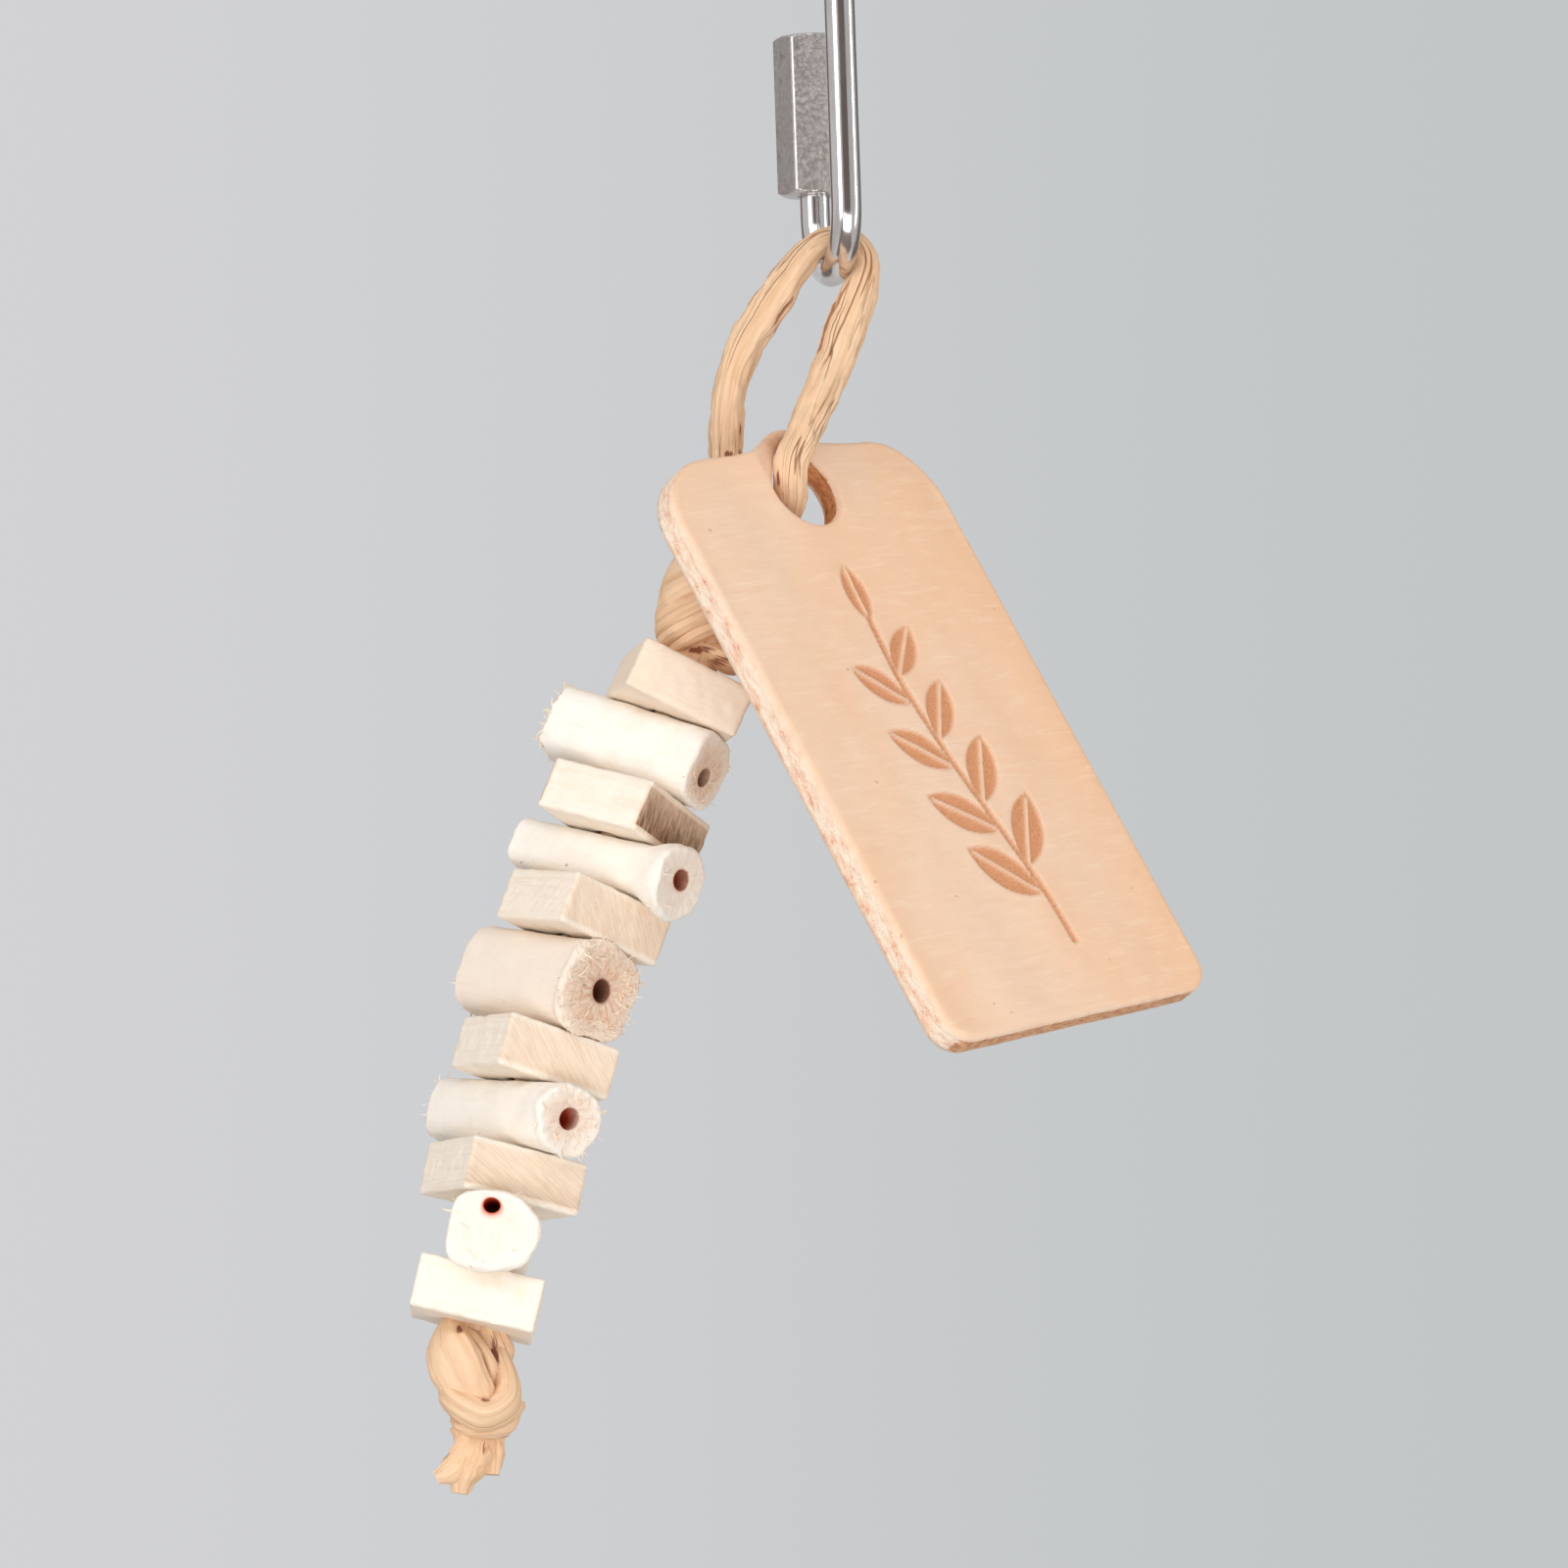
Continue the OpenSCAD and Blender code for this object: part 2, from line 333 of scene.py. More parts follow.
soft_box("front_box", (-0.05, -0.82, 0.40), (0.90, 0.50), 2.3)
soft_box("left_strip", (-0.58, -0.66, -0.02), (0.36, 0.90), 3.1)
soft_box("right_strip", (0.86, -0.14, 0.05), (0.14, 0.90), 2.2)
soft_box("low_box", (0.12, -0.62, -0.56), (0.90, 0.36), 3.1)
soft_box("back_fill", (0.10, 0.90, 0.10), (0.90, 0.90), 2.0).visible_glossy = False
print("lamps", len(bpy.data.lights))

# %% Floor and dim screen
pale = Finish("pale_floor").surface(Base_Color=colour(214, 214, 216), Roughness=0.9,
                                    Emission_Color=colour(255, 255, 255), Emission_Strength=0.26)
FLOOR, FAR = -0.8, 40  # metres
corners = [(-FAR, -FAR, FLOOR), (FAR, -FAR, FLOOR), (FAR, FAR, FLOOR), (-FAR, FAR, FLOOR)]
floor = make_piece("floor", np.array(corners) / MM, [(0, 1, 2, 3)], pale)
floor.visible_diffuse = False
dim = Finish("dim_screen").surface(Base_Color=colour(140, 128, 122), Roughness=1.0)
walls = [((-0.26, -1.0), (0.62, -1.0)), ((0.95, 0.35), (0.60, 0.85)), ((-0.60, 0.85), (-0.95, 0.45))]
corners = [(x, y, z) for wall in walls for x, y in wall for z in (-0.9, 0.9)]
corners += [(x, y, FLOOR + 0.02) for x, y in ((-0.7, -1.0), (0.7, -1.0), (0.7, 0.1), (-0.7, 0.1))]
sheets = [(0, 2, 3, 1), (4, 6, 7, 5), (8, 10, 11, 9), (12, 13, 14, 15)]
screen = make_piece("dim_screen", np.array(corners) / MM, sheets, dim)
screen.visible_camera = screen.visible_diffuse = screen.visible_shadow = screen.visible_transmission = False
print("stage", floor.name, screen.name)

# %% [markdown]
# ## Kraft paper
# The cord is a strip of brown paper, crushed and rolled into a rope. Its colour runs in streaks along its
# length. Painted shade darkens each fold to a thin red-brown line, and the finer creases between the folds
# as well, and lays dark patches in the cord's gaps. The strand's mesh says where its folds are and how far
# along and around a point lies, and noise stretched along that follows every bend.

# %% Paper finish
paper = Finish("kraft_paper")
lay = paper.attribute("lay")
fold, painted_shade, creased = paper.values_of("fold", "painted_shade", "creased")
streak = paper.cloud(lay, (1.5, 1.5, 0.06), detail=6, rough=0.6)
fibre = paper.cloud(lay, (8, 8, 0.35), detail=3)
patch = paper.cloud(paper.place, scale=160)


def creases(size, long, shift):
    """Thin lines along the cord, where a slow noise passes its middle value, kept in some places only."""
    bend = paper.cloud(lay, (size, size, long), shift, detail=1, rough=0.4) - 0.5
    kept = paper.ramp(paper.cloud(lay, (0.5, 0.5, 0.035), shift[::-1], detail=1), 0.44, 0.58)
    return (1 - paper.ramp(bend * bend, 0.0, 0.0003)) * kept * creased


crease = creases(0.75, 0.03, (5, 2, 9)) + creases(1.5, 0.05, (1, 8, 4)) * 0.6
paper.tone = paper.mix(paper.ramp(streak, 0.32, 0.68), (226, 186, 148), (242, 208, 174))
paper.tint(paper.ramp(patch, 0.45, 0.72) * 0.4, (236, 188, 144))
paper.tint(paper.ramp(fibre, 0.56, 0.74) * 0.22, (196, 146, 106))
# Painted shade: the creases and the grooves of the folds are darkened to thin red-brown lines.
paper.tint(paper.ramp(crease, 0.1, 1.0) * 0.75, (146, 88, 52))
paper.tint(paper.ramp(fold, 0.20, 0.90) * 0.80, (132, 76, 44))
# Painted shade: the dark patches, broken up along the paper's fibres and streaks.
torn = paper.ramp(painted_shade + (fibre - 0.5) * 1.8 + (streak - 0.5) * 1.4, 0.50, 0.80)
paper.tint(paper.ramp(painted_shade, 0.05, 0.4) * torn * 0.88, (120, 50, 24))
rough_paper = (streak * 0.8 + fibre * 0.4) * (0.3 + creased * 0.7) - crease * 0.9
kraft_paper = paper.surface(height=rough_paper, depth=0.16, Roughness=0.82, Specular_IOR_Level=0.22)

# %% [markdown]
# ## A strand of crushed paper
# A strand is swept along a smooth line. Each ring is an oval, wide and thin, and a handful of laps run
# along the strand with a slow twist: at a lap the radius steps down, as one layer of paper ends on the
# next, and a shallow groove lies along the step. That reads as paper, where a plain tube reads as rubber.

# %% Directions along a line
def carried(line, facing):
    """Heading and two directions across a line; the first one lies square to the way the strand faces."""
    head = unit(np.gradient(line, axis=0))
    facing = np.broadcast_to(np.asarray(facing, float), line.shape)
    wanted = np.cross(head, facing)
    first = wanted[0] if np.linalg.norm(wanted[0]) > 0.2 else np.cross(head[0], [0.3, 0.2, 1])
    across = [unit(first)]
    for way, want in zip(head[1:], wanted[1:]):
        kept = across[-1] - (across[-1] @ way) * way
        pull = max(np.linalg.norm(want) - 0.25, 0) * 0.25
        want = want if want @ kept > 0 else -want
        across.append(unit(unit(kept) + pull * want))
    across = unit(np.array(across) - (np.array(across) * head).sum(1)[:, None] * head)
    return head, across, np.cross(head, across)


print("directions ready")

# %% Laps of paper
LAP, GROOVE = 0.7, 0.06  # radians: how far round a lap reaches, and half the width of the groove at its edge


def lap_runs(rng, far, laps, twist, depth, flaps):
    """Angle and height along a strand of each lap. A flap is one more lap at a given angle, from one share of
    the length to another, of a given height."""
    share, runs = far / far[-1], []
    for k in range(laps):
        start = 2 * np.pi * (k + rng.uniform(-0.3, 0.3)) / laps
        wander = rng.uniform(0.04, 0.14) * np.sin(far / rng.uniform(5, 12) + rng.uniform(0, 6))
        fade = held(0.45 + 0.9 * np.sin(far / rng.uniform(8, 20) + rng.uniform(0, 6)))
        angle = start + twist * rng.uniform(0.6, 1.4) * far + wander
        runs.append((angle, rng.uniform(0.3, 1.0) * depth * fade))
    for angle, first, last, height in flaps:
        window = held((share - first) / 0.03) * held((last - share) / 0.03)
        runs.append((math.radians(angle) + 0.08 * np.sin(far / 2.3), height * window))
    return runs


def lapped(runs, turn, depth):
    """How much each place of the rings is raised by the laps, and how near it is to a fold."""
    raised, fold = 1.0, 0.0
    for run, height in runs:
        height = height[:, None]
        past = (turn - run[:, None]) % (2 * np.pi)
        groove = np.exp(-(np.minimum(past, 2 * np.pi - past) / GROOVE) ** 2)
        raised = raised + (height * held(1 - past / LAP) - 0.6 * height * groove)
        fold = np.maximum(fold, groove * held((height / depth) ** 1.5 * 1.5))
    return raised, fold


print("laps ready")

# %% Strand maker
PAPER_ROLL = 2.2  # radius at which the paper's noise is read


def strand(route, wide, thick, laps, seed, facing=(0, -1, 0), step=0.3, sides=112, twist=0.01, depth=0.10,
           flaps=(), boxy=1.0, crumple=0.05, creased=1.0):
    """Points, faces and values of a strand; wide and thick are half its size at even steps along it."""
    rng = np.random.default_rng(seed)
    line, far = smooth_line(route, step)
    head, across, deep = carried(line, facing(line) if callable(facing) else facing)
    share, turn = far / far[-1], circle(sides)
    wide, thick = (np.interp(share, np.linspace(0, 1, len(v)), v)[:, None] for v in (wide, thick))
    raised, fold = lapped(lap_runs(rng, far, laps, twist, depth, flaps), turn, depth)
    cos, sin = (np.sign(v) * np.abs(v) ** boxy for v in (np.cos(turn), np.sin(turn)))
    ring = line[:, None] + (across[:, None] * (wide * cos)[..., None]
                            + deep[:, None] * (thick * sin)[..., None]) * raised[..., None]
    lay = stacked(PAPER_ROLL * np.cos(turn), PAPER_ROLL * np.sin(turn), far[:, None] + seed * 37)
    ridge = 0.5 - np.abs(swells(lay * (1, 1, 0.4), 3.2, seed + 3))
    uneven = crumple * (swells(ring, 5, seed + 1) + ridge + 0.4 * swells(ring, 1.6, seed + 2))
    ring += (ring - line[:, None]) * uneven[..., None]
    points, faces = tube(ring, line)
    values = {"fold": np.concatenate([fold.ravel(), [0.6, 0.6]]), "painted_shade": np.zeros(len(points)),
              "creased": np.full(len(points), creased),
              "lay": np.vstack([lay.reshape(-1, 3), lay[0, :1], lay[-1, :1]])}
    return points, faces, values


print("strand maker ready")

# %% Paper pieces
def joined(parts):
    """Several sets of points, faces and values as one."""
    starts = np.cumsum([0] + [len(points) for points, _, _ in parts])
    faces = [tuple(i + start for i in face) for (_, some, _), start in zip(parts, starts) for face in some]
    values = {key: np.concatenate([values[key] for _, _, values in parts]) for key in parts[0][2]}
    return np.vstack([points for points, _, _ in parts]), faces, values


def paper_piece(name, body, node, strands, base=0, dark=()):
    """A piece of paper cord from its strands. Each patch of painted shade is a middle, from the base, and a
    size.
    """
    points, faces, values = joined(strands)
    for middle, size in dark:
        near = np.exp(-(((points - base - middle) / size) ** 2).sum(1))
        values["painted_shade"] = np.maximum(values["painted_shade"], near)
    piece = make_piece(name, points, faces, kraft_paper, values)
    dress(piece, body, "paper_cord", node)
    return piece


print("paper pieces take", kraft_paper.name)

# %% [markdown]
# ## The loop of cord
# One length of cord leaves the knot behind the tag, climbs over the link's foot, comes down on the right,
# enters the tag's hole from the front and returns to the knot. The route is the CAD model's, drawn a little
# tighter round the bar. The strand's wide side faces the viewer in the legs, and over the bar, where the
# real cord is pinched, it gets narrower and deeper. Four flaps stand for edges of paper that have come
# loose.

# %% Cord loop
LOOP_ROUTE = foot + np.array([
    (-14.2, 0.6, -44.5), (-14.4, 1.2, -38), (-14.4, 1.5, -31), (-14.25, 1.5, -24.8), (-13.9, 1.2, -17),
    (-12.3, 0.8, -11.2), (-9.0, 0.3, -5.4), (-5.9, 0, -0.8), (-3.3, 0, 2.5), (0, 0, 3.9), (2.8, 0, 2.7),
    (3.8, -0.1, 0.3), (3.2, -0.5, -2.9), (1.6, -1.3, -8.0), (-0.2, -2.6, -13.8), (-2.2, -4.4, -19.0),
    (-4.4, -6.8, -24.9), (-5.6, -8.0, -28.2), (-5.9, -7.7, -30.4), (-5.9, -5.5, -32.3), (-6.5, -3.0, -33.8),
    (-8.2, -0.9, -35.4), (-9.6, 0.1, -38), (-10.8, 0.4, -41), (-11.6, 0.3, -44.5)])
SHARES = [0, 0.18, 0.245, 0.33, 0.385, 0.43, 0.46, 0.50, 0.54, 0.60, 0.66, 0.72, 0.78, 0.84, 1]
WIDE = [2.2, 2.15, 2.05, 2.4, 2.3, 1.95, 1.8, 1.75, 2.1, 2.55, 2.4, 2.4, 2.25, 2.1, 2.0]
THICK = [1.9, 1.9, 1.9, 1.8, 1.9, 2.2, 2.4, 2.4, 2.2, 1.9, 1.8, 1.8, 1.8, 1.8, 1.8]
FLAPS = [(-24, 0.33, 0.40, 0.17), (-22, 0.24, 0.32, 0.07), (-20, 0.575, 0.675, 0.17), (-55, 0.15, 0.23, 0.07)]
# Patches of painted shade on the loop, each a middle from the link's foot and a size.
LOOP_DARK = [((-13.9, -0.4, -25.4), (1.0, 1.5, 0.6)), ((-12.3, 0, -25), (0.7, 1.5, 1.0)),
             ((-12.4, 0, -22.5), (0.25, 1.5, 2.0)), ((-7.5, -8.6, -31.5), (0.35, 1.5, 1.8))]
stops = np.linspace(0, 1, 60)
cord = strand(LOOP_ROUTE, np.interp(stops, SHARES, WIDE), np.interp(stops, SHARES, THICK), 9, 11, sides=128,
              depth=0.13, flaps=FLAPS, crumple=0.07)
loop_cord = paper_piece("loop_cord", "loop", "cord_loop", [cord], foot, LOOP_DARK)
loop_line, loop_far = smooth_line(LOOP_ROUTE, 1.0)
print("loop of cord, millimetres", round(float(loop_far[-1]), 1))

# %% [markdown]
# ## The cord inside the beads
# Between a stick and the next block a little cord shows, and the rest is in the bores. The CAD model has
# one straight stretch for each place where the string can bend, and each gets a short plain strand on its
# body.

# %% Cord through the beads
BLOCK, BLOCK_HIGH, GAP = 15.5, 6.8, 0.25
ups = [axis(f"block_spin_{i}") for i in range(1, 7)]
half = BLOCK_HIGH / 2 + GAP
tops = [spot("block_spin_1") + half * ups[0]] + [spot(f"cord_flex_{i}") for i in range(2, 7)]
tops.append(spot("block_spin_6") - half * ups[5])
strings = ["loop"] + [f"string_{i}" for i in range(2, 7)]
for i in range(6):
    route = np.linspace(tops[i] + GAP * ups[i], tops[i + 1] - GAP * ups[i], 5)
    cord = strand(route, [1.85] * 2, [1.8] * 2, 6, 30 + i, step=0.6, sides=48, twist=0.12)
    paper_piece(f"inner_cord_{i + 1}", strings[i], f"cord_core_{i + 1}", [cord])

# %% [markdown]
# ## The two knots
# Each knot is an overhand knot in a thick soft cord, so its strands are wide bands that press each other
# flat. A knot could be found by simulation, but these have to match a photograph. So each band's route was
# drawn as points from the cord's middle at the bead next to the knot. The upper knot has one broad
# band above narrower wraps that climb to the right. The lower one ends in a tail that has sprung open.

# %% Top knot
TOP_BANDS = [  # route, half width, half thickness
    ([(6, 4.5, 9.4), (2.8, 5.2, 9.7), (-0.6, 3.2, 10.3), (-1.5, 0, 10.7), (-0.8, -2.8, 11.2),
      (1.4, -4.2, 12.2), (4.2, -4.4, 13.2), (6.6, -2.7, 13.4), (7.6, 0.5, 12.5), (6.3, 3.5, 10.4)], 4.3, 2.2),
    ([(6.5, 3.5, 8.5), (3, 5, 7.4), (-0.5, 4.2, 7.0), (-2.6, 1.5, 6.9), (-2.5, -1.6, 7.2), (-0.2, -4.1, 8.0),
      (3, -4.9, 9.4), (6, -3.6, 10.4), (7.8, -0.6, 10)], 1.5, 1.75),
    ([(6.5, 3.5, 6.5), (3, 5, 5.6), (-0.5, 4.2, 5.2), (-2.7, 1.5, 5.1), (-2.7, -1.6, 5.3), (-0.4, -4.2, 6.2),
      (2.8, -5.0, 7.6), (5.8, -3.7, 8.6), (7.6, -0.6, 8.4)], 1.2, 1.6),
    ([(3, 4.4, 3.6), (-0.5, 4.0, 3.4), (-2.5, 1.5, 3.4), (-2.5, -1.4, 3.7), (-0.6, -3.9, 4.4),
      (2.4, -4.8, 5.8), (5.4, -3.6, 6.8), (7.0, -0.6, 6.8)], 1.1, 1.5),
    ([(-1.6, 1, 2.2), (-1.9, -0.8, 2.2), (-0.6, -3.2, 2.8), (1.8, -4.4, 4.0), (4.2, -3.8, 5.0),
      (6, -1.2, 5.2)], 1.0, 1.3),
    ([(0, -0.5, 3), (1.5, -2.2, 2.2), (3.2, -2.6, 1.4), (4.8, -2.2, 0.6), (5.6, -0.5, 0.9),
      (5, 2, 2)], 1.5, 1.4),
    ([(0, 0, 0), (0.4, 0, 2), (1.6, 0.2, 5), (3.2, 0.4, 8.5), (4.8, 0.5, 11.5)], 3.6, 3.4)]


def outward(middle, lift=1.0):
    """A strand's facing in a knot: away from the knot's middle, with a share of the upward part."""
    return lambda line: unit((line - middle) * (1, 1, lift))


facing = outward(tops[0] + (2.5, 0, 7), 0.3)
bands = [strand(tops[0] + route, [wide] * 2, [thick] * 2, 5, 50 + k, step=0.35, boxy=0.62, facing=facing,
                depth=0.06, creased=0.5) for k, (route, wide, thick) in enumerate(TOP_BANDS)]
# Patches of painted shade under the upper knot, where it sits on the first block.
TOP_DARK = [((1.2, -4, 1.7), (2.4, 2, 0.55)), ((4, -3, 0.3), (2.4, 2, 0.8))]
paper_piece("upper_knot", "loop", "top_knot", bands, tops[0], TOP_DARK)

# %% Bottom knot and its open tail
LOW_BANDS = [  # route, half widths, half thicknesses, how crumpled
    ([(0, 0, 1), (-1.7, -1.0, -0.2), (-2.3, -2.4, -2.4), (-1.5, -3.2, -4.8), (-0.3, -3.0, -7.2),
      (1.2, -2.0, -9.2), (2.6, -0.2, -10)],
     [1.5, 2.0, 3.5, 3.9, 3.6, 2.9, 2.3], [1.6, 1.9, 2.0, 2.0, 1.9, 1.8, 1.8], 0.05),
    ([(1.6, 1.8, -1.0), (3.3, 0.8, -4), (4.7, -0.9, -7.2), (4.6, -2.8, -9.8), (2.3, -4.0, -11.3),
      (-0.1, -3.9, -10.4), (-1.7, -2.6, -9.0), (-2.1, -0.4, -7.8), (-1.0, 2.2, -6.6), (1.6, 3.2, -5.4)],
     [1.6, 2.2, 2.3, 2.1, 1.9, 1.8, 1.7, 1.7], [1.6] * 2, 0.05),
    ([(5.2, 1.5, -9.4), (4.4, -0.8, -11.8), (1.8, -2.0, -12.6), (-0.4, -0.6, -11.8), (-0.8, 2, -10.2)],
     [1.6] * 2, [1.5] * 2, 0.12),
    ([(-0.9, -1.6, -0.2), (0.6, -2.4, -1.5), (2.0, -2.6, -3.3), (2.9, -2.3, -5.3), (3.0, -1.6, -7)],
     [0.7] * 2, [0.6] * 2, 0.1),
    ([(1.0, 0.6, 0.6), (2.4, 1.0, -3), (2.6, 1.0, -7), (2.0, 0.4, -10)],
     [2.2, 2.7, 2.7, 2.4], [2.0] * 2, 0.10),
    ([(1.3, 0, -10), (1.1, -0.3, -12.6), (0.6, -0.6, -14.8), (0.0, -0.8, -17), (-0.5, -0.9, -18.8),
      (-0.8, -0.9, -20.4)],
     [2.2, 2.4, 2.5, 2.3, 2.0, 1.7, 1.0], [1.7, 1.6, 1.5, 1.5, 1.4, 1.2, 0.6], 0.20),
    ([(0.4, -0.9, -14.4), (-1.0, -1.4, -16.3), (-2.3, -1.5, -17.6), (-3.8, -1.3, -18.4)],
     [1.6, 1.8, 1.5, 0.9], [1.1, 1.0, 1.0, 0.5], 0.22),
    ([(2.2, 0.3, -12), (2.7, 0.3, -14), (2.9, 0.3, -16), (2.9, 0.2, -18)],
     [1.8, 1.8, 1.6, 0.9], [1.3, 1.2, 1.1, 0.5], 0.22)]
bands = []
for k, (route, wide, thick, crumple) in enumerate(LOW_BANDS):
    facing = outward(tops[6] + (1.5, 0, -6.5)) if k < 4 else (0.1, -1, 0)
    bands.append(strand(tops[6] + route, wide, thick, 3, 70 + k, facing=facing, depth=0.05, twist=0.02,
                        boxy=0.8, crumple=crumple, creased=0.25))
# Patches of painted shade on the lower knot.
LOW_DARK = [((-1.1, -4.7, -0.7), (0.6, 1.3, 1.2)), ((2.3, -4.5, -9.5), (0.8, 1.4, 0.35)),
            ((3.1, -1, -4.5), (0.8, 1.8, 4)), ((2.2, -1.4, -15.2), (0.4, 1.5, 1.2)),
            ((-4.4, -1.4, -18.6), (0.7, 1.5, 0.7))]
paper_piece("lower_knot", "string_6", "bottom_knot", bands, tops[6], LOW_DARK)

# %% [markdown]
# ## Flat pieces cut to an outline
# The wood blocks and the leather tag are both flat pieces with a hole. A fine square grid is cut to an
# outline, given as a distance that is below zero inside, and where the outline crosses a cell the cell is
# cut there. The front and back faces round off close to the edge, and a wall with several rows joins them,
# so it can be rough. A Boolean on a box would give the same outline but no points to shape inside it.

# %% Outline cutter
NEAR = 0.08  # share of a cell's side that stays on each side of a cut


def cut_grid(outline, low, high, cell):
    """Points, faces and directed rim edges of a flat grid cut to an outline."""
    xs, zs = np.arange(low[0], high[0] + cell, cell), np.arange(low[1], high[1] + cell, cell)
    grid = np.stack(np.meshgrid(xs, zs, indexing="ij"), -1)
    far = outline(grid[..., 0], grid[..., 1])
    inside = far < 0
    number = np.full(far.shape, -1)
    number[inside] = np.arange(inside.sum())
    points, crossings, rim = list(grid[inside]), {}, []
    count = inside[:-1, :-1] * 1 + inside[1:, :-1] + inside[1:, 1:] + inside[:-1, 1:]
    i, j = np.nonzero(count == 4)
    faces = stacked(number[i, j], number[i + 1, j], number[i + 1, j + 1], number[i, j + 1]).tolist()

    def crossing(a, b):
        key = (min(a, b), max(a, b))
        if key not in crossings:
            share = np.clip(far[a] / (far[a] - far[b]), NEAR, 1 - NEAR)
            crossings[key] = len(points)
            points.append(grid[a] + share * (grid[b] - grid[a]))
        return crossings[key]

    for i, j in zip(*np.nonzero((count > 0) & (count < 4))):
        corners = [(i, j), (i + 1, j), (i + 1, j + 1), (i, j + 1)]
        loop, out = [], None
        for a, b in zip(corners, corners[1:] + corners[:1]):
            if inside[a]:
                loop.append(number[a])
            if inside[a] != inside[b]:
                loop.append(crossing(a, b))
                if inside[a]:
                    out = len(loop) - 1
        faces.append(loop)
        rim.append((loop[out], loop[(out + 1) % len(loop)]))
    return np.array(points), faces, rim


print("cutter ready")

# %% Solid from a cut grid
def slab(flat, faces, rim, front, back, rough, rows=12):
    """A solid between a front and a back depth on the same flat points, with a wall of rows round its rims,
    which rough(places) pushes out. Gives places (x, z, depth), faces, and 1 for each point of the wall."""
    n = len(flat)
    edge = sorted({i for pair in rim for i in pair})
    where = {i: k for k, i in enumerate(edge)}
    away = np.zeros((len(edge), 2))
    for a, b in rim:
        side = (flat[b] - flat[a])[::-1] * (1, -1)
        away[where[a]] += side
        away[where[b]] += side
    away = unit(away)
    layers = [np.column_stack([flat, front]), np.column_stack([flat, back])]
    for row in range(1, rows):
        depth = front[edge] + (back[edge] - front[edge]) * row / rows
        push = rough(np.column_stack([flat[edge], depth])) * math.sin(math.pi * row / rows) ** 0.5
        layers.append(np.column_stack([flat[edge] + away * push[:, None], depth]))
    ids = [np.array(edge)] + [2 * n + k * len(edge) + np.arange(len(edge)) for k in range(rows - 1)]
    ids.append(n + np.array(edge))
    faces = faces + [[n + i for i in reversed(face)] for face in faces]
    for a, b in rim:
        a, b = where[a], where[b]
        faces += [[high[b], high[a], low[a], low[b]] for high, low in zip(ids, ids[1:])]
    own = np.vstack(layers)
    cut = np.concatenate([np.zeros(2 * n), np.ones(len(own) - 2 * n)])
    return own, [[int(i) for i in face] for face in faces], cut


def rounded(far, radius):
    """How far a face drops close to its rim, where far is the distance inside the outline."""
    gap = np.clip(radius - far, 0, radius)
    return radius - np.sqrt(np.maximum(radius ** 2 - gap ** 2, 0))


print("a rim rounded by 1 drops", rounded(np.array([0, 0.5, 1]), 1).round(2))

# %% [markdown]
# ## Wood
# The blocks are pale soft wood, sawn and hardly sanded. The grain runs along one side of each block: on
# that side and the flats it shows as long faint lines, on the ends as short blotches. One noise, stretched
# along the grain in the block's own directions, gives both, because the end faces cut across the stretched
# noise. A value on the points marks the sawn ends, which are darker end grain and also carry painted
# shade, most of all on the second block.

# %% Wood finish
timber = Finish("pale_wood")
grain = timber.attribute("grain")
sawn, tint = timber.values_of("sawn", "tint")
lines = timber.cloud(grain, (0.05, 1.5, 0.30), scale=1.5, detail=5, rough=0.6, wander=0.15)
pores = timber.cloud(grain, (0.5, 6, 2.5), detail=3)
blotch = timber.cloud(grain, scale=0.22)
timber.tone = timber.mix(tint, (252, 242, 228), (243, 220, 198))
timber.tint(timber.ramp(lines, 0.46, 0.70) * 0.30, (232, 202, 172))
timber.tint(timber.ramp(blotch, 0.50, 0.72) * 0.40, (246, 226, 198))
timber.tint(timber.ramp(pores, 0.58, 0.74) * 0.22, (218, 186, 160))
timber.tint(sawn, timber.mix(timber.ramp(lines, 0.36, 0.62), (243, 214, 184), (230, 196, 164)))
# Darker end grain and painted shade on the sawn ends.
end_grain_and_shade = 0.62 + timber.ramp(lines, 0.4, 0.6) * 0.38
timber.tint(timber.ramp(sawn, 0.58, 0.96) * end_grain_and_shade, (132, 98, 70))
rough_wood = lines * (0.3 + sawn * 0.6) + pores * 0.5 + blotch * 0.5
pale_wood = timber.surface(height=rough_wood, depth=0.12, Roughness=0.72, Specular_IOR_Level=0.25)

# %% Blocks
CORNER, BORE, ARRIS, CELL = 0.45, 2.3, 0.42, 0.31  # radii of corners, hole and edges, and the grid's cell
BLOCK_TURN = [14, -29, -52, -62, -64, 4]  # degrees on the string
BLOCK_TINT = [0.62, 0.20, 0.30, 0.18, 0.10, 0.06]
END_GRAIN = [0.2, 1.0, 0.60, 0.65, 0.75, 0.1]  # how dark the sawn ends are
GRAIN_SLANT = [0.2, -0.2, -0.8, -1.0, -2.0, 0.0]  # of the lines, through the block


def turned(i, degrees):
    """Two directions across string i, the first one turned by an angle from right to back."""
    angle = math.radians(degrees)
    back = np.array((0, 1, 0))
    first = np.cross(back, ups[i]) * math.cos(angle) + back * math.sin(angle)
    return first, np.cross(ups[i], first)


def block_outline(seed):
    def outline(x, y):
        reach = BLOCK / 2 - CORNER + 0.06 * swells(stacked(x, y, 0), 5, seed)
        gap = stacked(np.abs(x) - reach, np.abs(y) - reach)
        square = np.linalg.norm(np.maximum(gap, 0), axis=-1) + np.minimum(gap.max(-1), 0) - CORNER
        return np.maximum(square, BORE - np.hypot(x, y))
    return outline


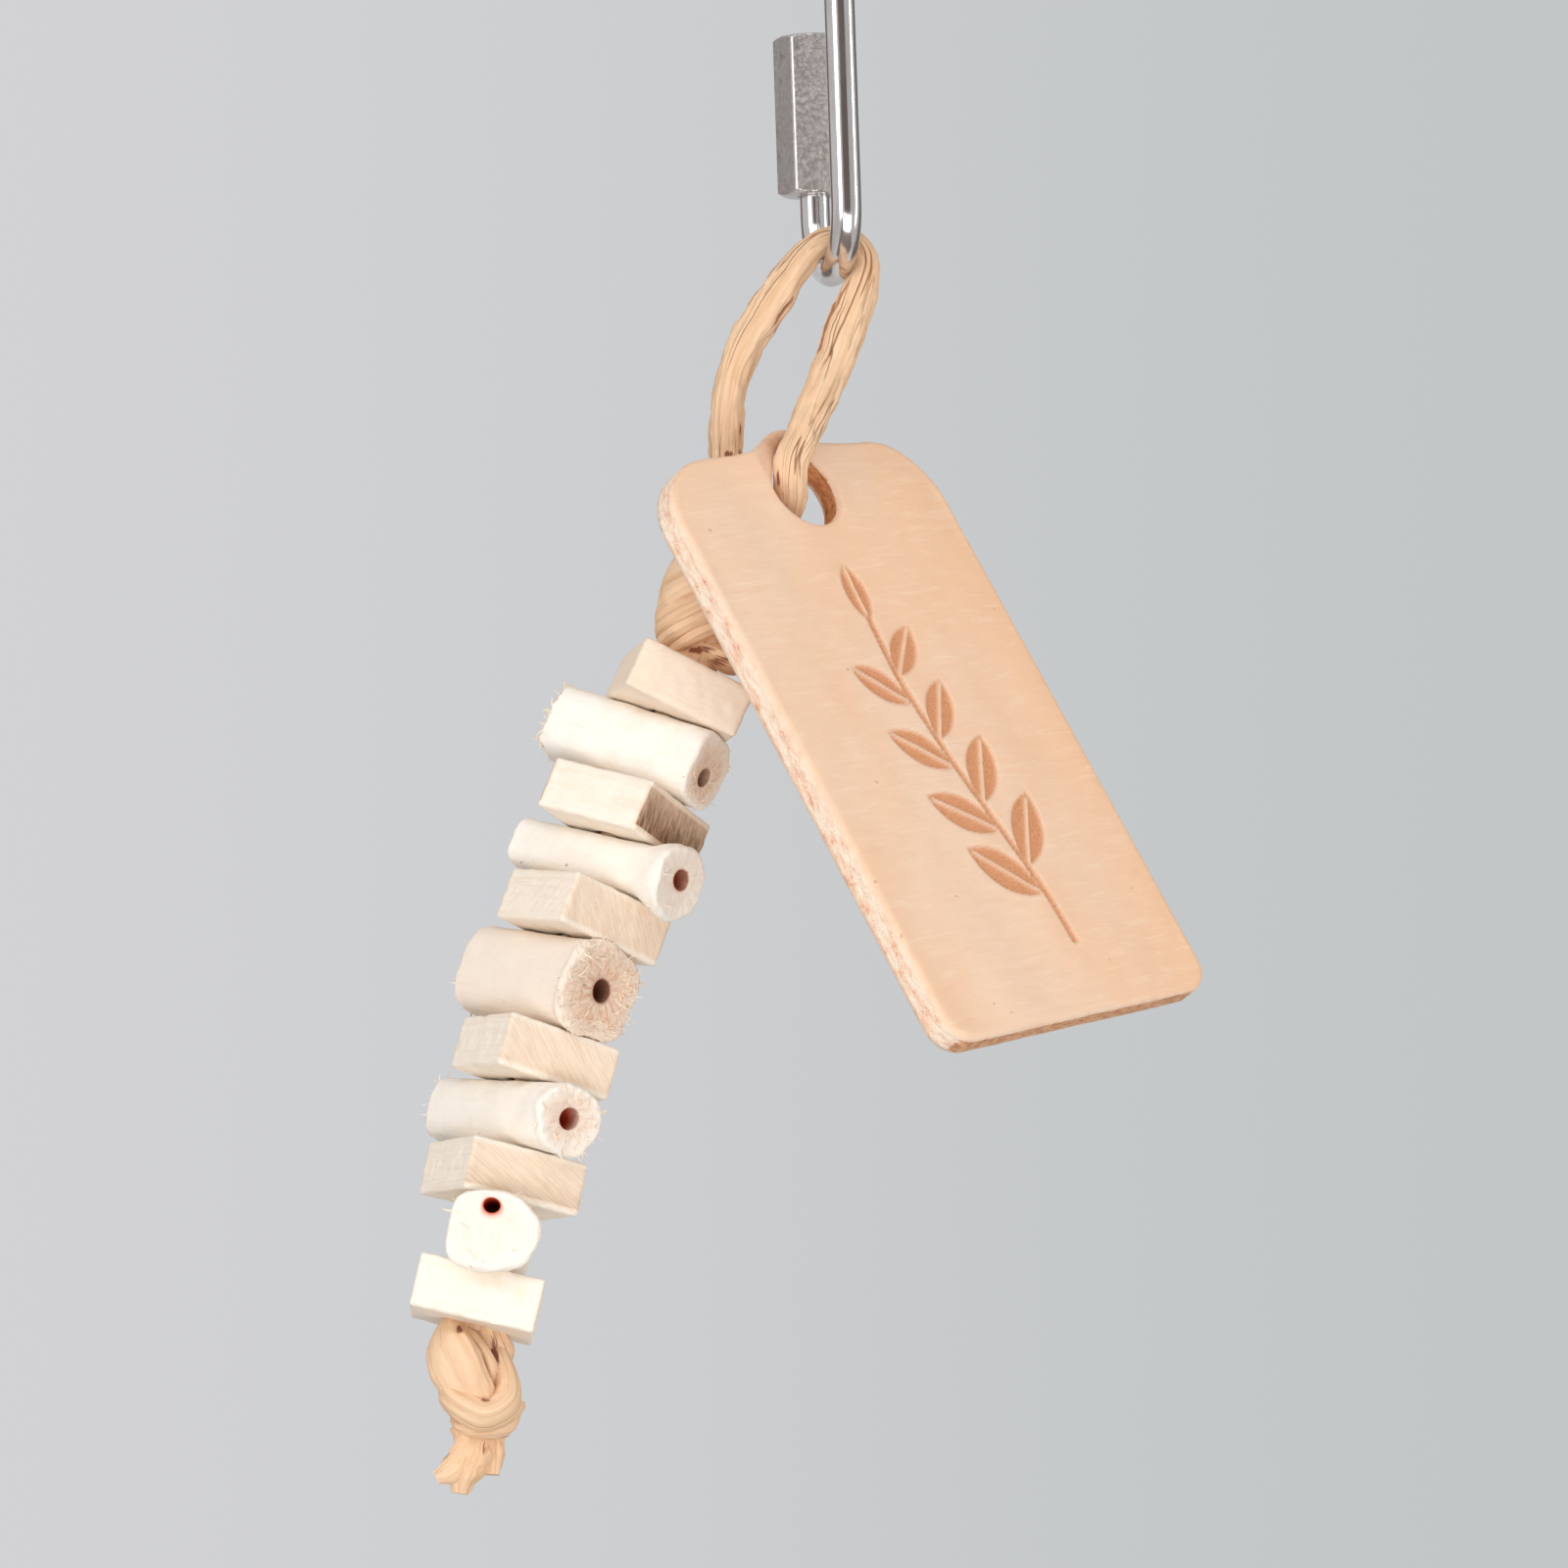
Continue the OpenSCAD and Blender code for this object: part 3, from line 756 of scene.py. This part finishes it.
for i in range(6):
    outline = block_outline(i)
    flat, faces, rim = cut_grid(outline, (-8.2, -8.2), (8.2, 8.2), CELL)
    drop = rounded(-outline(*flat.T), ARRIS) + np.abs(0.08 * swells(stacked(*flat.T, 0), 4, 90 + i))
    own, faces, cut = slab(flat, faces, rim, drop, BLOCK_HIGH - drop, lambda p: 0.06 * swells(p, 1.6, 20 + i))
    # The sawn ends grow darker towards each block's lower side, as painted shade.
    end = cut * held((np.abs(own[:, 0]) - 7.0) / 0.6) * (0.7 + 0.3 * own[:, 2] / BLOCK_HIGH)
    grain = own + (31 * i, 17 * i, 0)
    grain[:, 1] += GRAIN_SLANT[i] * own[:, 2]
    values = {"grain": grain, "sawn": END_GRAIN[i] * end, "tint": np.full(len(own), BLOCK_TINT[i])}
    top = spot(f"block_spin_{i + 1}") + BLOCK_HIGH / 2 * ups[i]
    points = placed(own, top, *turned(i, BLOCK_TURN[i]), -ups[i])
    block = make_piece(f"square_block_{i + 1}", points, faces, pale_wood, values, crisp=50)
    dress(block, f"block_{i + 1}", "wood", f"wood_block_{i + 1}")

# %% [markdown]
# ## Sola
# Sola is the pith of a marsh plant: nearly white, light as foam and soft enough to bite through. A stick is
# squeezed between two blocks and swells again at its right end, past their edges. Its ends are torn and
# show a small hole in the middle. One closed ring of ovals makes a stick: along the skin, over one end,
# back through the hole and over the other end, so there is no seam to close.

# %% Sola finish
sola = Finish("sola_pith")
pith, rays = sola.attribute("pith"), sola.attribute("rays")
end, tan, core = sola.values_of("end", "tan", "core")
line = sola.cloud(pith, (0.12, 1.4, 1.4), detail=5, rough=0.6)
cell = sola.cloud(pith, scale=4.0)
dint = sola.cloud(pith, scale=0.40)
ray = sola.cloud(rays, (1.3, 1.3, 1.5), detail=5, rough=0.6)
sola.tone = sola.mix(tan, (252, 245, 235), (241, 222, 204))
sola.tint(sola.ramp(dint, 0.42, 0.70) * 0.4, (245, 231, 215))
sola.tint(sola.ramp(line, 0.54, 0.72) * 0.14, (230, 204, 178))
# The torn ends' brown, which on the first stick is partly painted shade.
sola.tint(end, sola.mix(sola.ramp(ray, 0.36, 0.66), (248, 226, 204), (232, 186, 156)))
speck = sola.ramp(sola.cloud(pith, scale=0.9, detail=2, rough=0.4), 0.745, 0.77)
sola.tint(speck * 0.6, (176, 128, 92))
sola.tint(core, sola.mix(end, (244, 96, 46), (136, 84, 54)))
rough_pith = line * 0.5 + cell * 0.25 + ray * end * 1.6 + dint * 0.9
sola_pith = sola.surface(height=rough_pith, depth=0.22, Roughness=0.88, Specular_IOR_Level=0.15)

# %% Stick measures
# length, squeezed height, width, right end (width, height, drop), shift, turn, hole's rise and radius
STICKS = [
    (22.4, 9.0, 9.2, (9.8, 9.9, 0.2), -2.5, -24, -1.2, 1.25),
    (26.0, 6.0, 7.8, (9.6, 9.7, 0.5), 0, -35, 0, 1.35),
    (21.2, 11.0, 11.8, (13.0, 13.2, 0.2), -2.4, -44, 0, 1.40),
    (26.0, 7.6, 8.8, (9.4, 8.9, 0.2), -1.5, -52, 0, 1.40),
    (22.0, 7.2, 9.6, (13.0, 10.2, 0.7), 0, -88.5, 2.4, 1.00)]
END_TINT = [0.8, 0.2, 1.0, 0.6, 0.15]  # how brown the torn ends are: browning, and on the first stick partly painted shade
HOLE_TINT = [0.9, 0.6, 1.0, 0.30, 0.35]  # share of brown, not red, in the hole
PALE_MOUTH = [0.60, 0.35, 0.15, 0.70, 0.0]  # how much of the hole's colour is missing close to the end
MOUTH = 2.6  # how deep that reaches
TAN = [0.0, 0.12, 0.75, 0.12, 0.12]  # how tan the skin is
FLARE = [(0.3, 1.4), (0.1, 4.2), (0.3, 0.9), (0.1, 3.5), (0.1, 2.2)]  # start before the edge, and length
TUCKED = [0.24, 0.17, 0.17, 0.10, 0.05]  # room under a stick's ends, for the string to bend
TORN = [(0.55, 0.12), (0.3, 0.12), (0.3, 0.3), (0.3, 0.2), (0.3, 0.1)]  # how ragged the two ends are
FUZZ = [(1.0, 0.10), (0.06, 0.05), (0.30, 1.0), (0.35, 0.25), (0.05, 0.06)]  # fibres on the two rims
print("stick lengths", [row[0] for row in STICKS])

# %% Stick outline
PRESS_TOP, PRESS_BASE = 0.14, 0.6  # how far a stick fills the gaps to the blocks
SQUARED, ROUNDER = 3.4, 1.2  # power of a squeezed stick's oval, and how much it falls at the free end


def squeezed(i, u, cos, sin):
    """A stick's radius between its two blocks and past them, and how free of both it is."""
    _, tall, wide, right, shift, turn, *_ = STICKS[i]
    free = []
    for block in BLOCK_TURN[i:i + 2]:
        skew = math.radians((turn - block + 45) % 90 - 45)
        past_edge = (u + shift) * math.cos(skew) - wide / 2 * cos * math.sin(skew) - BLOCK / 2
        free.append(held((past_edge + FLARE[i][0]) / FLARE[i][1]))
    above, below = (eased(side) for side in free)
    tucked = TUCKED[i] * held((np.abs(u + shift) - 3) / 4)
    roof = (tall / 2 + PRESS_TOP) * (1 - above) + (right[1] / 2 - right[2]) * above
    base = (tall / 2 + PRESS_BASE - tucked) * (1 - below) + (right[1] / 2 + right[2]) * below
    high = np.where(sin > 0, roof, base)
    both = np.minimum(above, below)
    broad = wide / 2 * (1 - both) + right[0] / 2 * both
    power = SQUARED - ROUNDER * both
    return (np.abs(cos / broad) ** power + np.abs(sin / high) ** power) ** (-1 / power), both


print("oval of the first stick's middle", squeezed(0, 0, np.array([1, 0]), np.array([0, 1]))[0].round(2))

# %% Stick shape
def stick_loop(skin=72, cap=14, hole=18):
    """Along, from -1 to 1, and share, from 1 at the skin to 0 at the hole, for each ring of a stick."""
    ease = np.sin(np.linspace(-1, 1, skin) * np.pi / 2)
    down, back = np.linspace(1, 0, cap + 1)[1:], np.linspace(1, -1, hole + 1)[1:]
    along = np.concatenate([ease, np.ones(cap), back, -np.ones(cap - 1)])
    share = np.concatenate([np.ones(skin), down, np.zeros(hole), down[::-1][1:]])
    return along, share


def sola_rings(i, sides=80):
    """Rings of a stick's own places, along, across and up, and the values on its points."""
    long, *_, rise, bore = STICKS[i]
    along, share = (v[:, None] for v in stick_loop())
    theta = circle(sides)
    cos, sin = np.cos(theta), np.sin(theta)
    u = along * long / 2
    size, both = squeezed(i, u, cos, sin)
    spots = stacked(u, size * cos, size * sin)
    size = size + (0.16 * both + 0.05) * swells(spots, 5, 120 + i)
    size = size + 0.06 * swells(spots, 1.7, 130 + i) * (0.3 + both)
    from_end = long / 2 - np.abs(u)
    size = size - np.where(u > 0, rounded(from_end, 0.75), rounded(from_end, 0.4)) * 0.8
    hole = bore * (1 + 0.07 * np.sin(theta + i) + 0.05 * np.sin(2 * theta + 2 * i))
    radius = hole + (size - hole) * share
    right, at_end = along > 0, np.abs(along) > 0.999
    torn = np.where(right, *TORN[i][::-1])
    ragged = torn * (0.7 * swells(spots * (0.2, 1, 1), 5, 150 + i) + 0.5 * swells(spots, 1.3, 160 + i))
    dish = -0.3 * (1 - share) * at_end
    u = u + np.sign(along) * (held((np.abs(along) - 0.80) / 0.2) * ragged * share ** 2 + dish)
    own = stacked(u, radius * cos, radius * sin + rise * (1 - share))
    cap = at_end * held(share * 8) * held((1.05 - share) * 1.5)
    pale = PALE_MOUTH[i] * held(1 - from_end / MOUTH)
    hole_tint = HOLE_TINT[i] + (1 - HOLE_TINT[i]) * pale
    values = {"end": np.where(share < 0.01, hole_tint, cap * END_TINT[i]),
              "core": held(1 - share * 10) * (1 - pale), "tan": TAN[i],
              "fuzz": (np.abs(along) > 0.975) * (share > 0.5) * np.where(right, *FUZZ[i][::-1])}
    values = {key: np.broadcast_to(value, radius.shape).ravel() for key, value in values.items()}
    values["pith"] = own.reshape(-1, 3) + (40 * i, 0, 0)
    values["rays"] = stacked(4 * cos, 4 * sin, share * 2 + 9 * i).reshape(-1, 3)
    return own, values


print("rings in a stick", len(stick_loop()[0]))

# %% Sticks
sola_sticks = []
for i in range(5):
    own, values = sola_rings(i)
    shift, turn = STICKS[i][4:6]
    along, side = turned(i, turn)
    points = placed(own.reshape(-1, 3), spot(f"stick_spin_{i + 1}") + shift * along, along, side, ups[i])
    faces = ring_faces(*own.shape[:2], closed=True)
    stick = make_piece(f"sola_{i + 1}", points, faces, sola_pith, values, crisp=80)
    dress(stick, f"stick_{i + 1}", "sola", f"sola_stick_{i + 1}")
    sola_sticks.append(stick)

# %% [markdown]
# ## Loose fibres
# Cut pith frays, so short pale fibres stand on the rims of the sticks, most of all at the left end of the
# first and the right end of the third. They all follow one rule, which is work for Geometry Nodes: points
# on the faces with a high fuzz value, a thin curled cone on each point, and a lean that differs each time.
# The result is kept as a plain mesh for each stick, because a stick and its fibres turn together.

# %% Fibre finish
frayed = Finish("pith_fibre")
frayed.tone = frayed.mix(frayed.cloud(frayed.place, scale=900, detail=2), (252, 240, 224), (238, 212, 186))
pith_fibre = frayed.surface(Roughness=0.9, Specular_IOR_Level=0.1)

# %% Fibre nodes
scatter = bpy.data.node_groups.new("pith_fibres", "GeometryNodeTree")
KNOBS = {"Stick": "Geometry", "Fibres each square metre": "Float", "Length": "Float", "Seed": "Int"}
knob = {name: scatter.interface.new_socket(name, in_out="INPUT", socket_type="NodeSocket" + kind).identifier
        for name, kind in KNOBS.items()}
scatter.interface.new_socket("Fibres", in_out="OUTPUT", socket_type="NodeSocketGeometry")
fray = Nodes(scatter)
given = {name: fray.add("NodeGroupInput", output=name) for name in KNOBS}
fuzzy = fray.add("GeometryNodeInputNamedAttribute", {"Name": "fuzz"}, data_type="FLOAT")
dots = fray.add("GeometryNodeDistributePointsOnFaces", {
    "Mesh": given["Stick"], "Density": fuzzy * given["Fibres each square metre"], "Seed": given["Seed"]})
upright = Socket(fray, dots.socket.node.outputs["Rotation"])
cone = fray.add("GeometryNodeMeshCone", {
    "Vertices": 3, "Side Segments": 4, "Depth": given["Length"],
    "Radius Top": 0.05 * MM, "Radius Bottom": 0.15 * MM})
rise = fray.add("ShaderNodeSeparateXYZ", {0: fray.add("GeometryNodeInputPosition")}, output=2)
curl = fray.add("ShaderNodeCombineXYZ", {0: rise * rise * 420})
curled = fray.add("GeometryNodeSetPosition", {"Geometry": cone, "Offset": curl})
lean = fray.add("FunctionNodeRandomValue", {0: (-1.2, -1.2, -3), 1: (1.2, 1.2, 3)}, data_type="FLOAT_VECTOR")
lean = fray.add("FunctionNodeEulerToRotation", {0: lean})
lean = fray.add("FunctionNodeRotateRotation", {
    "Rotation": upright, "Rotate By": lean}, rotation_space="LOCAL")
size = fray.add("FunctionNodeRandomValue", {2: 0.35, 3: 1.0}, output=1, data_type="FLOAT")
fibres = fray.add("GeometryNodeInstanceOnPoints", {
    "Points": dots, "Instance": curled, "Rotation": lean, "Scale": size})
fibres = fray.add("GeometryNodeRealizeInstances", {"Geometry": fibres})
fibres = fray.add("GeometryNodeSetMaterial", {"Geometry": fibres, "Material": pith_fibre})
fray.feed(scatter.nodes.new("NodeGroupOutput").inputs[0], fibres)
print("fibre nodes", len(scatter.nodes))

# %% Fibres on each stick
for i, stick in enumerate(sola_sticks):
    holder = bpy.data.objects.new("rim_holder", stick.data)
    scene.collection.objects.link(holder)
    modifier = holder.modifiers.new("pith_fibres", "NODES")
    modifier.node_group = scatter
    for name, value in (("Fibres each square metre", 3.6e6), ("Length", 1.2 * MM), ("Seed", i)):
        modifier[knob[name]] = value
    holder = holder.evaluated_get(bpy.context.evaluated_depsgraph_get())
    mesh = bpy.data.meshes.new_from_object(holder)
    bpy.data.objects.remove(bpy.data.objects["rim_holder"])
    loose = bpy.data.objects.new(f"loose_fibres_{i + 1}", mesh)
    scene.collection.objects.link(loose)
    dress(loose, f"stick_{i + 1}", "sola")

# %% [markdown]
# ## Leather
# The tag is thick vegetable-tanned leather: a smooth pale grain side with fine wisps, and cut edges where
# the fibres show, pinkish with rusty flecks. The cord has pulled the narrow web above the hole into a small
# hump. A pressed mark darkens leather and leaves a rounded rim, so the tag's mesh carries how deep it is
# pressed.

# %% Leather finish
leather = Finish("tooling_leather")
hide = leather.attribute("hide")
cut, pressed, raw_brown_and_shade = leather.values_of("cut", "pressed", "raw_brown_and_shade")
wisp = leather.cloud(hide, (0.16, 1.1, 0.5), detail=6, rough=0.62, wander=0.8)
pore = leather.cloud(hide, scale=5, detail=2)
broad = leather.cloud(hide, (0.05, 0.03, 0.05), detail=2)
leather.tone = leather.mix(leather.ramp(broad, 0.35, 0.65), (240, 206, 178), (241, 200, 166))
right = leather.add("ShaderNodeSeparateXYZ", {0: hide})
leather.tint(leather.ramp(right, 2, 26) * 0.6, (240, 192, 152))
leather.tint(leather.ramp(wisp, 0.50, 0.72) * 0.40, (247, 222, 198))
leather.tint(leather.ramp(wisp, 0.45, 0.25) * 0.30, (230, 182, 146))
freckle = leather.cloud(hide, (1, 1, 0), scale=0.55, detail=2, rough=0.35)
leather.tint(leather.ramp(freckle, 0.755, 0.775) * 0.5, (186, 140, 106))
leather.tint(pressed, leather.mix(leather.ramp(pore, 0.3, 0.7), (206, 136, 92), (226, 164, 120)))
fleck = leather.cloud(hide, (0.6, 0.42, 1.1), scale=1.1, detail=6, rough=0.7)
raw = leather.mix(leather.ramp(fleck, 0.42, 0.60), (255, 234, 212), (251, 210, 182))
leather.tint(cut, leather.mix(leather.ramp(fleck, 0.57, 0.72), raw, (220, 144, 110)))
# Painted shade with raw brown fibres on the hole's wall and the foot's edge, and painted shade on the web.
leather.tint(raw_brown_and_shade, leather.mix(leather.ramp(fleck, 0.40, 0.66), (226, 164, 114), (178, 108, 64)))
rough_hide = wisp * 0.4 + pore * (0.15 + pressed * 0.5 + cut) + fleck * cut
rough = 0.58 + cut * 0.3
tooling_leather = leather.surface(height=rough_hide, depth=0.16, Roughness=rough, Specular_IOR_Level=0.3)

# %% Mark: a leafy sprig
STEM = np.array([(4.5, -68), (3.4, -58), (1.2, -48), (-0.6, -38), (-1.6, -29), (-1.2, -20)], float)
LEAVES = [(0.14, -1), (0.22, 1), (0.34, -1), (0.42, 1), (0.54, -1), (0.62, 1), (0.74, -1), (0.82, 1),
          (1.0, 0)]  # place on the stem, side


def leaf(x, z, root, angle, long, wide):
    """Distance to a pointed leaf with a vein left standing along its middle."""
    cos, sin = math.cos(angle), math.sin(angle)
    x, z = x - root[0], z - root[1]
    u, v = x * cos + z * sin - long / 2 - 0.6, z * cos - x * sin
    radius = (long ** 2 + wide ** 2) / 4 / wide
    blade = np.maximum(np.hypot(u, v - radius + wide / 2), np.hypot(u, v + radius - wide / 2)) - radius
    vein = np.minimum(0.28 - np.abs(v), 1.5 - np.hypot(np.maximum(u - long * 0.22, 0), v) * 0.6)
    return np.maximum(blade, vein)


def sprig(x, z):
    """Distance to the mark, below zero where the leather is pressed."""
    line = smooth_line(stacked(*STEM.T, 0), 0.8)[0][:, :2]
    far = np.min([np.hypot(x - px, z - pz) for px, pz in line], axis=0) - 0.5
    for share, side in LEAVES:
        k = min(int(share * (len(line) - 1)), len(line) - 2)
        ahead = math.atan2(*(line[k + 1] - line[k])[::-1])
        size = 12.5 - 4 * share
        far = np.minimum(far, leaf(x, z, line[k], ahead - side * 0.75, size, size * 0.44))
    return far


print("stem of", len(STEM), "points and", len(LEAVES), "leaves")

# %% Tag outline
TAG_WIDE, TAG_TOP, TAG_FOOT, TAG_THICK, HOLE, PRESSED = 50, 6.05, -78, 4, 5.5, 0.34
TAG_CELL = 0.36  # of the grid it is cut from
TAG_TURN = (-22, -16, 45)  # about the frame's X, then Y, then Z
tag_across, tag_deep, tag_up = np.array(Euler([math.radians(a) for a in TAG_TURN]).to_matrix()).T


def pulled(x, z, height, middle, spread):
    """How far the web above the hole is pulled up at a place."""
    return height * np.exp(-((x - middle) / spread) ** 2) * held(z / 5)


def from_hole(x, z):
    """Distance to the middle of the hole, which is pulled up with the web."""
    return np.hypot(x, z - pulled(x, z, 2.2, 1.8, 2.6))


def tag_outline(x, z):
    """Distance to the tag's outline, with rounder corners at the top and the pulled web above the hole."""
    high = z - pulled(x, z, 3.0, 1.0, 4.8) - 0.02 * x * held(z / 5)
    high = high + 0.05 * swells(stacked(x, z, 0), 9, 5)
    corner = np.where(z > -35, 10, 4)
    gap_x = np.abs(x) - TAG_WIDE / 2 + corner
    gap_z = np.abs(high - (TAG_TOP + TAG_FOOT) / 2) - (TAG_TOP - TAG_FOOT) / 2 + corner
    past_corner = np.hypot(np.maximum(gap_x, 0), np.maximum(gap_z, 0))
    sheet = past_corner + np.minimum(np.maximum(gap_x, gap_z), 0) - corner
    near_cord = 0.7 * np.exp(-((x + 4.2) ** 2 + (z - 3.4) ** 2) / 5)
    return np.maximum(sheet, HOLE - near_cord - from_hole(x, z))


flat, faces, rim = cut_grid(tag_outline, (-25.6, -79), (25.6, 9.8), TAG_CELL)
print("points on the tag's front", len(flat))

# %% Tag
spots = stacked(*flat.T, 0)
inside = -tag_outline(*flat.T)
press = eased(held(0.5 - sprig(*flat.T) / 0.5))
uneven = (0.10 * swells(spots, 16, 3) + 0.03 * swells(spots, 3, 4)) * held(inside / 2)
front, back = rounded(inside, 0.75) + PRESSED * press + uneven, TAG_THICK - rounded(inside, 0.6) - 0.02
own, faces, cut = slab(flat, faces, rim, front, back,
                       lambda p: 0.07 * swells(p * (1, 1, 2.5), 2.2, 6) + 0.06 * swells(p, 0.8, 7))
x, z, _ = own.T
rim_share = held(1 - inside / 0.3) * 0.6
# The hole's wall and the foot's edge are raw brown fibres with painted shade; the web has painted shade only.
bore_wall = cut * (from_hole(x, z) < HOLE + 0.8)
web = np.exp(-((x + 1.5) / 2.2) ** 2 - ((z - 6.6) / 1.8) ** 2) * 0.6
foot_wall = 0.8 * cut * (z < TAG_FOOT + 0.6)
values = {"hide": own, "cut": np.concatenate([rim_share, rim_share, cut[2 * len(flat):]]),
          "pressed": np.concatenate([press, np.zeros(len(own) - len(flat))]),
          "raw_brown_and_shade": np.max([bore_wall, web, foot_wall], axis=0)}
points = placed(own, spot("tag_swing"), tag_across, tag_up, tag_deep)
tag = make_piece("tag_of_leather", points, faces, tooling_leather, values, crisp=50)
dress(tag, "tag", "leather", "leather_tag")
print("tag faces us along", axis("tag_swing").round(3), "and its depth runs along", tag_deep.round(3))

# %% [markdown]
# ## Steel
# The link is bent from polished rod, and its hexagon sleeve is satin from the mill, with fine scratches.
# The sleeve is run down, so the link is open and its upper threaded end shows. The rod is swept along its
# own oval, with the thread as a spiral in its radius. The sleeve is a stack of six-sided rings whose
# corners are turned off at the ends, as on any nut.

# %% Steel finishes
chrome = Finish("polished_steel")
drawn = chrome.cloud(chrome.place, scale=900, detail=2)
smear = chrome.cloud(chrome.place, (260, 260, 60))
chrome.tone = chrome.mix(chrome.ramp(smear, 0.35, 0.7), (0.74, 0.715, 0.70, 1), (0.62, 0.585, 0.57, 1))
rough = 0.12 + chrome.ramp(smear, 0.4, 0.7) * 0.12
polished_steel = chrome.surface(height=drawn, depth=0.004, Metallic=1.0, Roughness=rough)
satin = Finish("satin_steel")
own_way = satin.attribute("satin")
scratch = satin.cloud(own_way, (5, 0.5, 5), rough=0.65)
grit = satin.cloud(own_way, scale=1.6, detail=6, rough=0.7)
mark = satin.cloud(own_way, (0.9, 0.45, 0.9), detail=6, rough=0.7, wander=0.5)
satin.tone = satin.mix(satin.ramp(grit, 0.25, 0.75), (0.56, 0.525, 0.505, 1), (0.70, 0.665, 0.645, 1))
satin.tint(satin.ramp(mark, 0.56, 0.66) * 0.45, (0.26, 0.24, 0.22, 1))
rough = 0.30 + satin.ramp(grit, 0.35, 0.7) * 0.12
satin_steel = satin.surface(height=scratch * 0.6 + grit * 0.25, depth=0.02, Metallic=1.0, Roughness=rough)

# %% Bent rod
link_up = axis("sleeve_slide")
link_side = np.array((0.9697, 0.2277, 0.0884))
link_side = unit(link_side - (link_side @ link_up) * link_up)
link_back = np.cross(link_up, link_side)
ROD, SPAN, LOW_BEND, TOP_BEND = 2.0, 8.0, -42.0, -6.0
TIPS, PITCH, FINE_END = (-19.1, -12.6), 0.8, -32  # ends of the threaded legs, and where fine rings stop
bend = np.linspace(0, np.pi, 90)
flat = np.vstack([
    stacked(SPAN, np.linspace(TIPS[0], FINE_END, 130)),
    stacked(SPAN, np.linspace(FINE_END - 1, LOW_BEND, 10, endpoint=False)),
    stacked(SPAN * np.cos(bend), LOW_BEND - SPAN * np.sin(bend))[:-1],
    stacked(-SPAN, np.linspace(LOW_BEND, TOP_BEND, 60, endpoint=False)),
    stacked(-SPAN * np.cos(bend), TOP_BEND + SPAN * np.sin(bend))[:-1],
    stacked(SPAN, np.linspace(TOP_BEND, TIPS[1], 71))])
line = flat[:, :1] * link_back + flat[:, 1:] * link_up
head = unit(np.gradient(line, axis=0))
turn = circle(64)
upper = flat[:, 1] > TIPS[0]
far_off = 99 * (flat[:, 0] < SPAN - 0.1)
from_tip = np.where(upper, flat[:, 1] - TIPS[1], TIPS[0] - flat[:, 1]) + far_off
threaded = held((np.where(upper, 5, 12) - from_tip) / 1.2)[:, None]
cuts = np.abs(((flat[:, 1:] / PITCH + turn / (2 * np.pi)) % 1) - 0.5) * 2
radius = ROD - 0.3 * threaded * cuts - 0.5 * held(1 - from_tip / 0.5)[:, None]
ring = line[:, None] + radius[..., None] * (np.cos(turn)[:, None] * link_side
                                            + np.sin(turn)[:, None] * np.cross(head, link_side)[:, None])
rod = make_piece("bent_rod", *tube(ring, line), polished_steel)
dress(rod, "link", "steel_rod", "link_body")

# %% Hexagon sleeve
SLEEVE_LOW, SLEEVE_LONG, HALF_FLATS, SLEEVE_TURN, SLEEVE_BORE = -39.1, 21.0, 4.25, -14.0, 2.1
turn = circle(180)
off_flat = (turn - math.radians(SLEEVE_TURN + 30) + np.pi / 6) % (np.pi / 3) - np.pi / 6
hexagon = np.minimum(HALF_FLATS / np.cos(off_flat), HALF_FLATS * 1.135)
lower_end = np.linspace(0, 0.8, 9)
up_it = np.concatenate([lower_end, np.linspace(1.2, SLEEVE_LONG - 1.2, 40), SLEEVE_LONG - lower_end[::-1]])
from_end = np.minimum(up_it, SLEEVE_LONG - up_it)[:, None]
skin = np.minimum(hexagon, HALF_FLATS + 0.02 + from_end * 1.1 - 0.25 * held(0.3 - from_end) / 0.3)
lips = [3.6, 2.9, SLEEVE_BORE + 0.25]
inner = np.array([*lips, SLEEVE_BORE, SLEEVE_BORE, *lips[::-1]])[:, None]
radius = np.vstack([skin, np.broadcast_to(inner, (len(inner), len(turn)))])
height = np.concatenate([up_it, [SLEEVE_LONG] * 3, [SLEEVE_LONG - 0.3, 0.3], [0] * 3])[:, None]
own = stacked(radius * np.cos(turn), radius * np.sin(turn), height).reshape(-1, 3)
points = placed(own, SPAN * link_back + SLEEVE_LOW * link_up, link_side, link_back, link_up)
faces = ring_faces(*radius.shape, closed=True)
sleeve = make_piece("hexagon_sleeve", points, faces, satin_steel, {"satin": own[:, [0, 2, 1]]}, crisp=28)
dress(sleeve, "sleeve", "steel_sleeve", "link_sleeve")
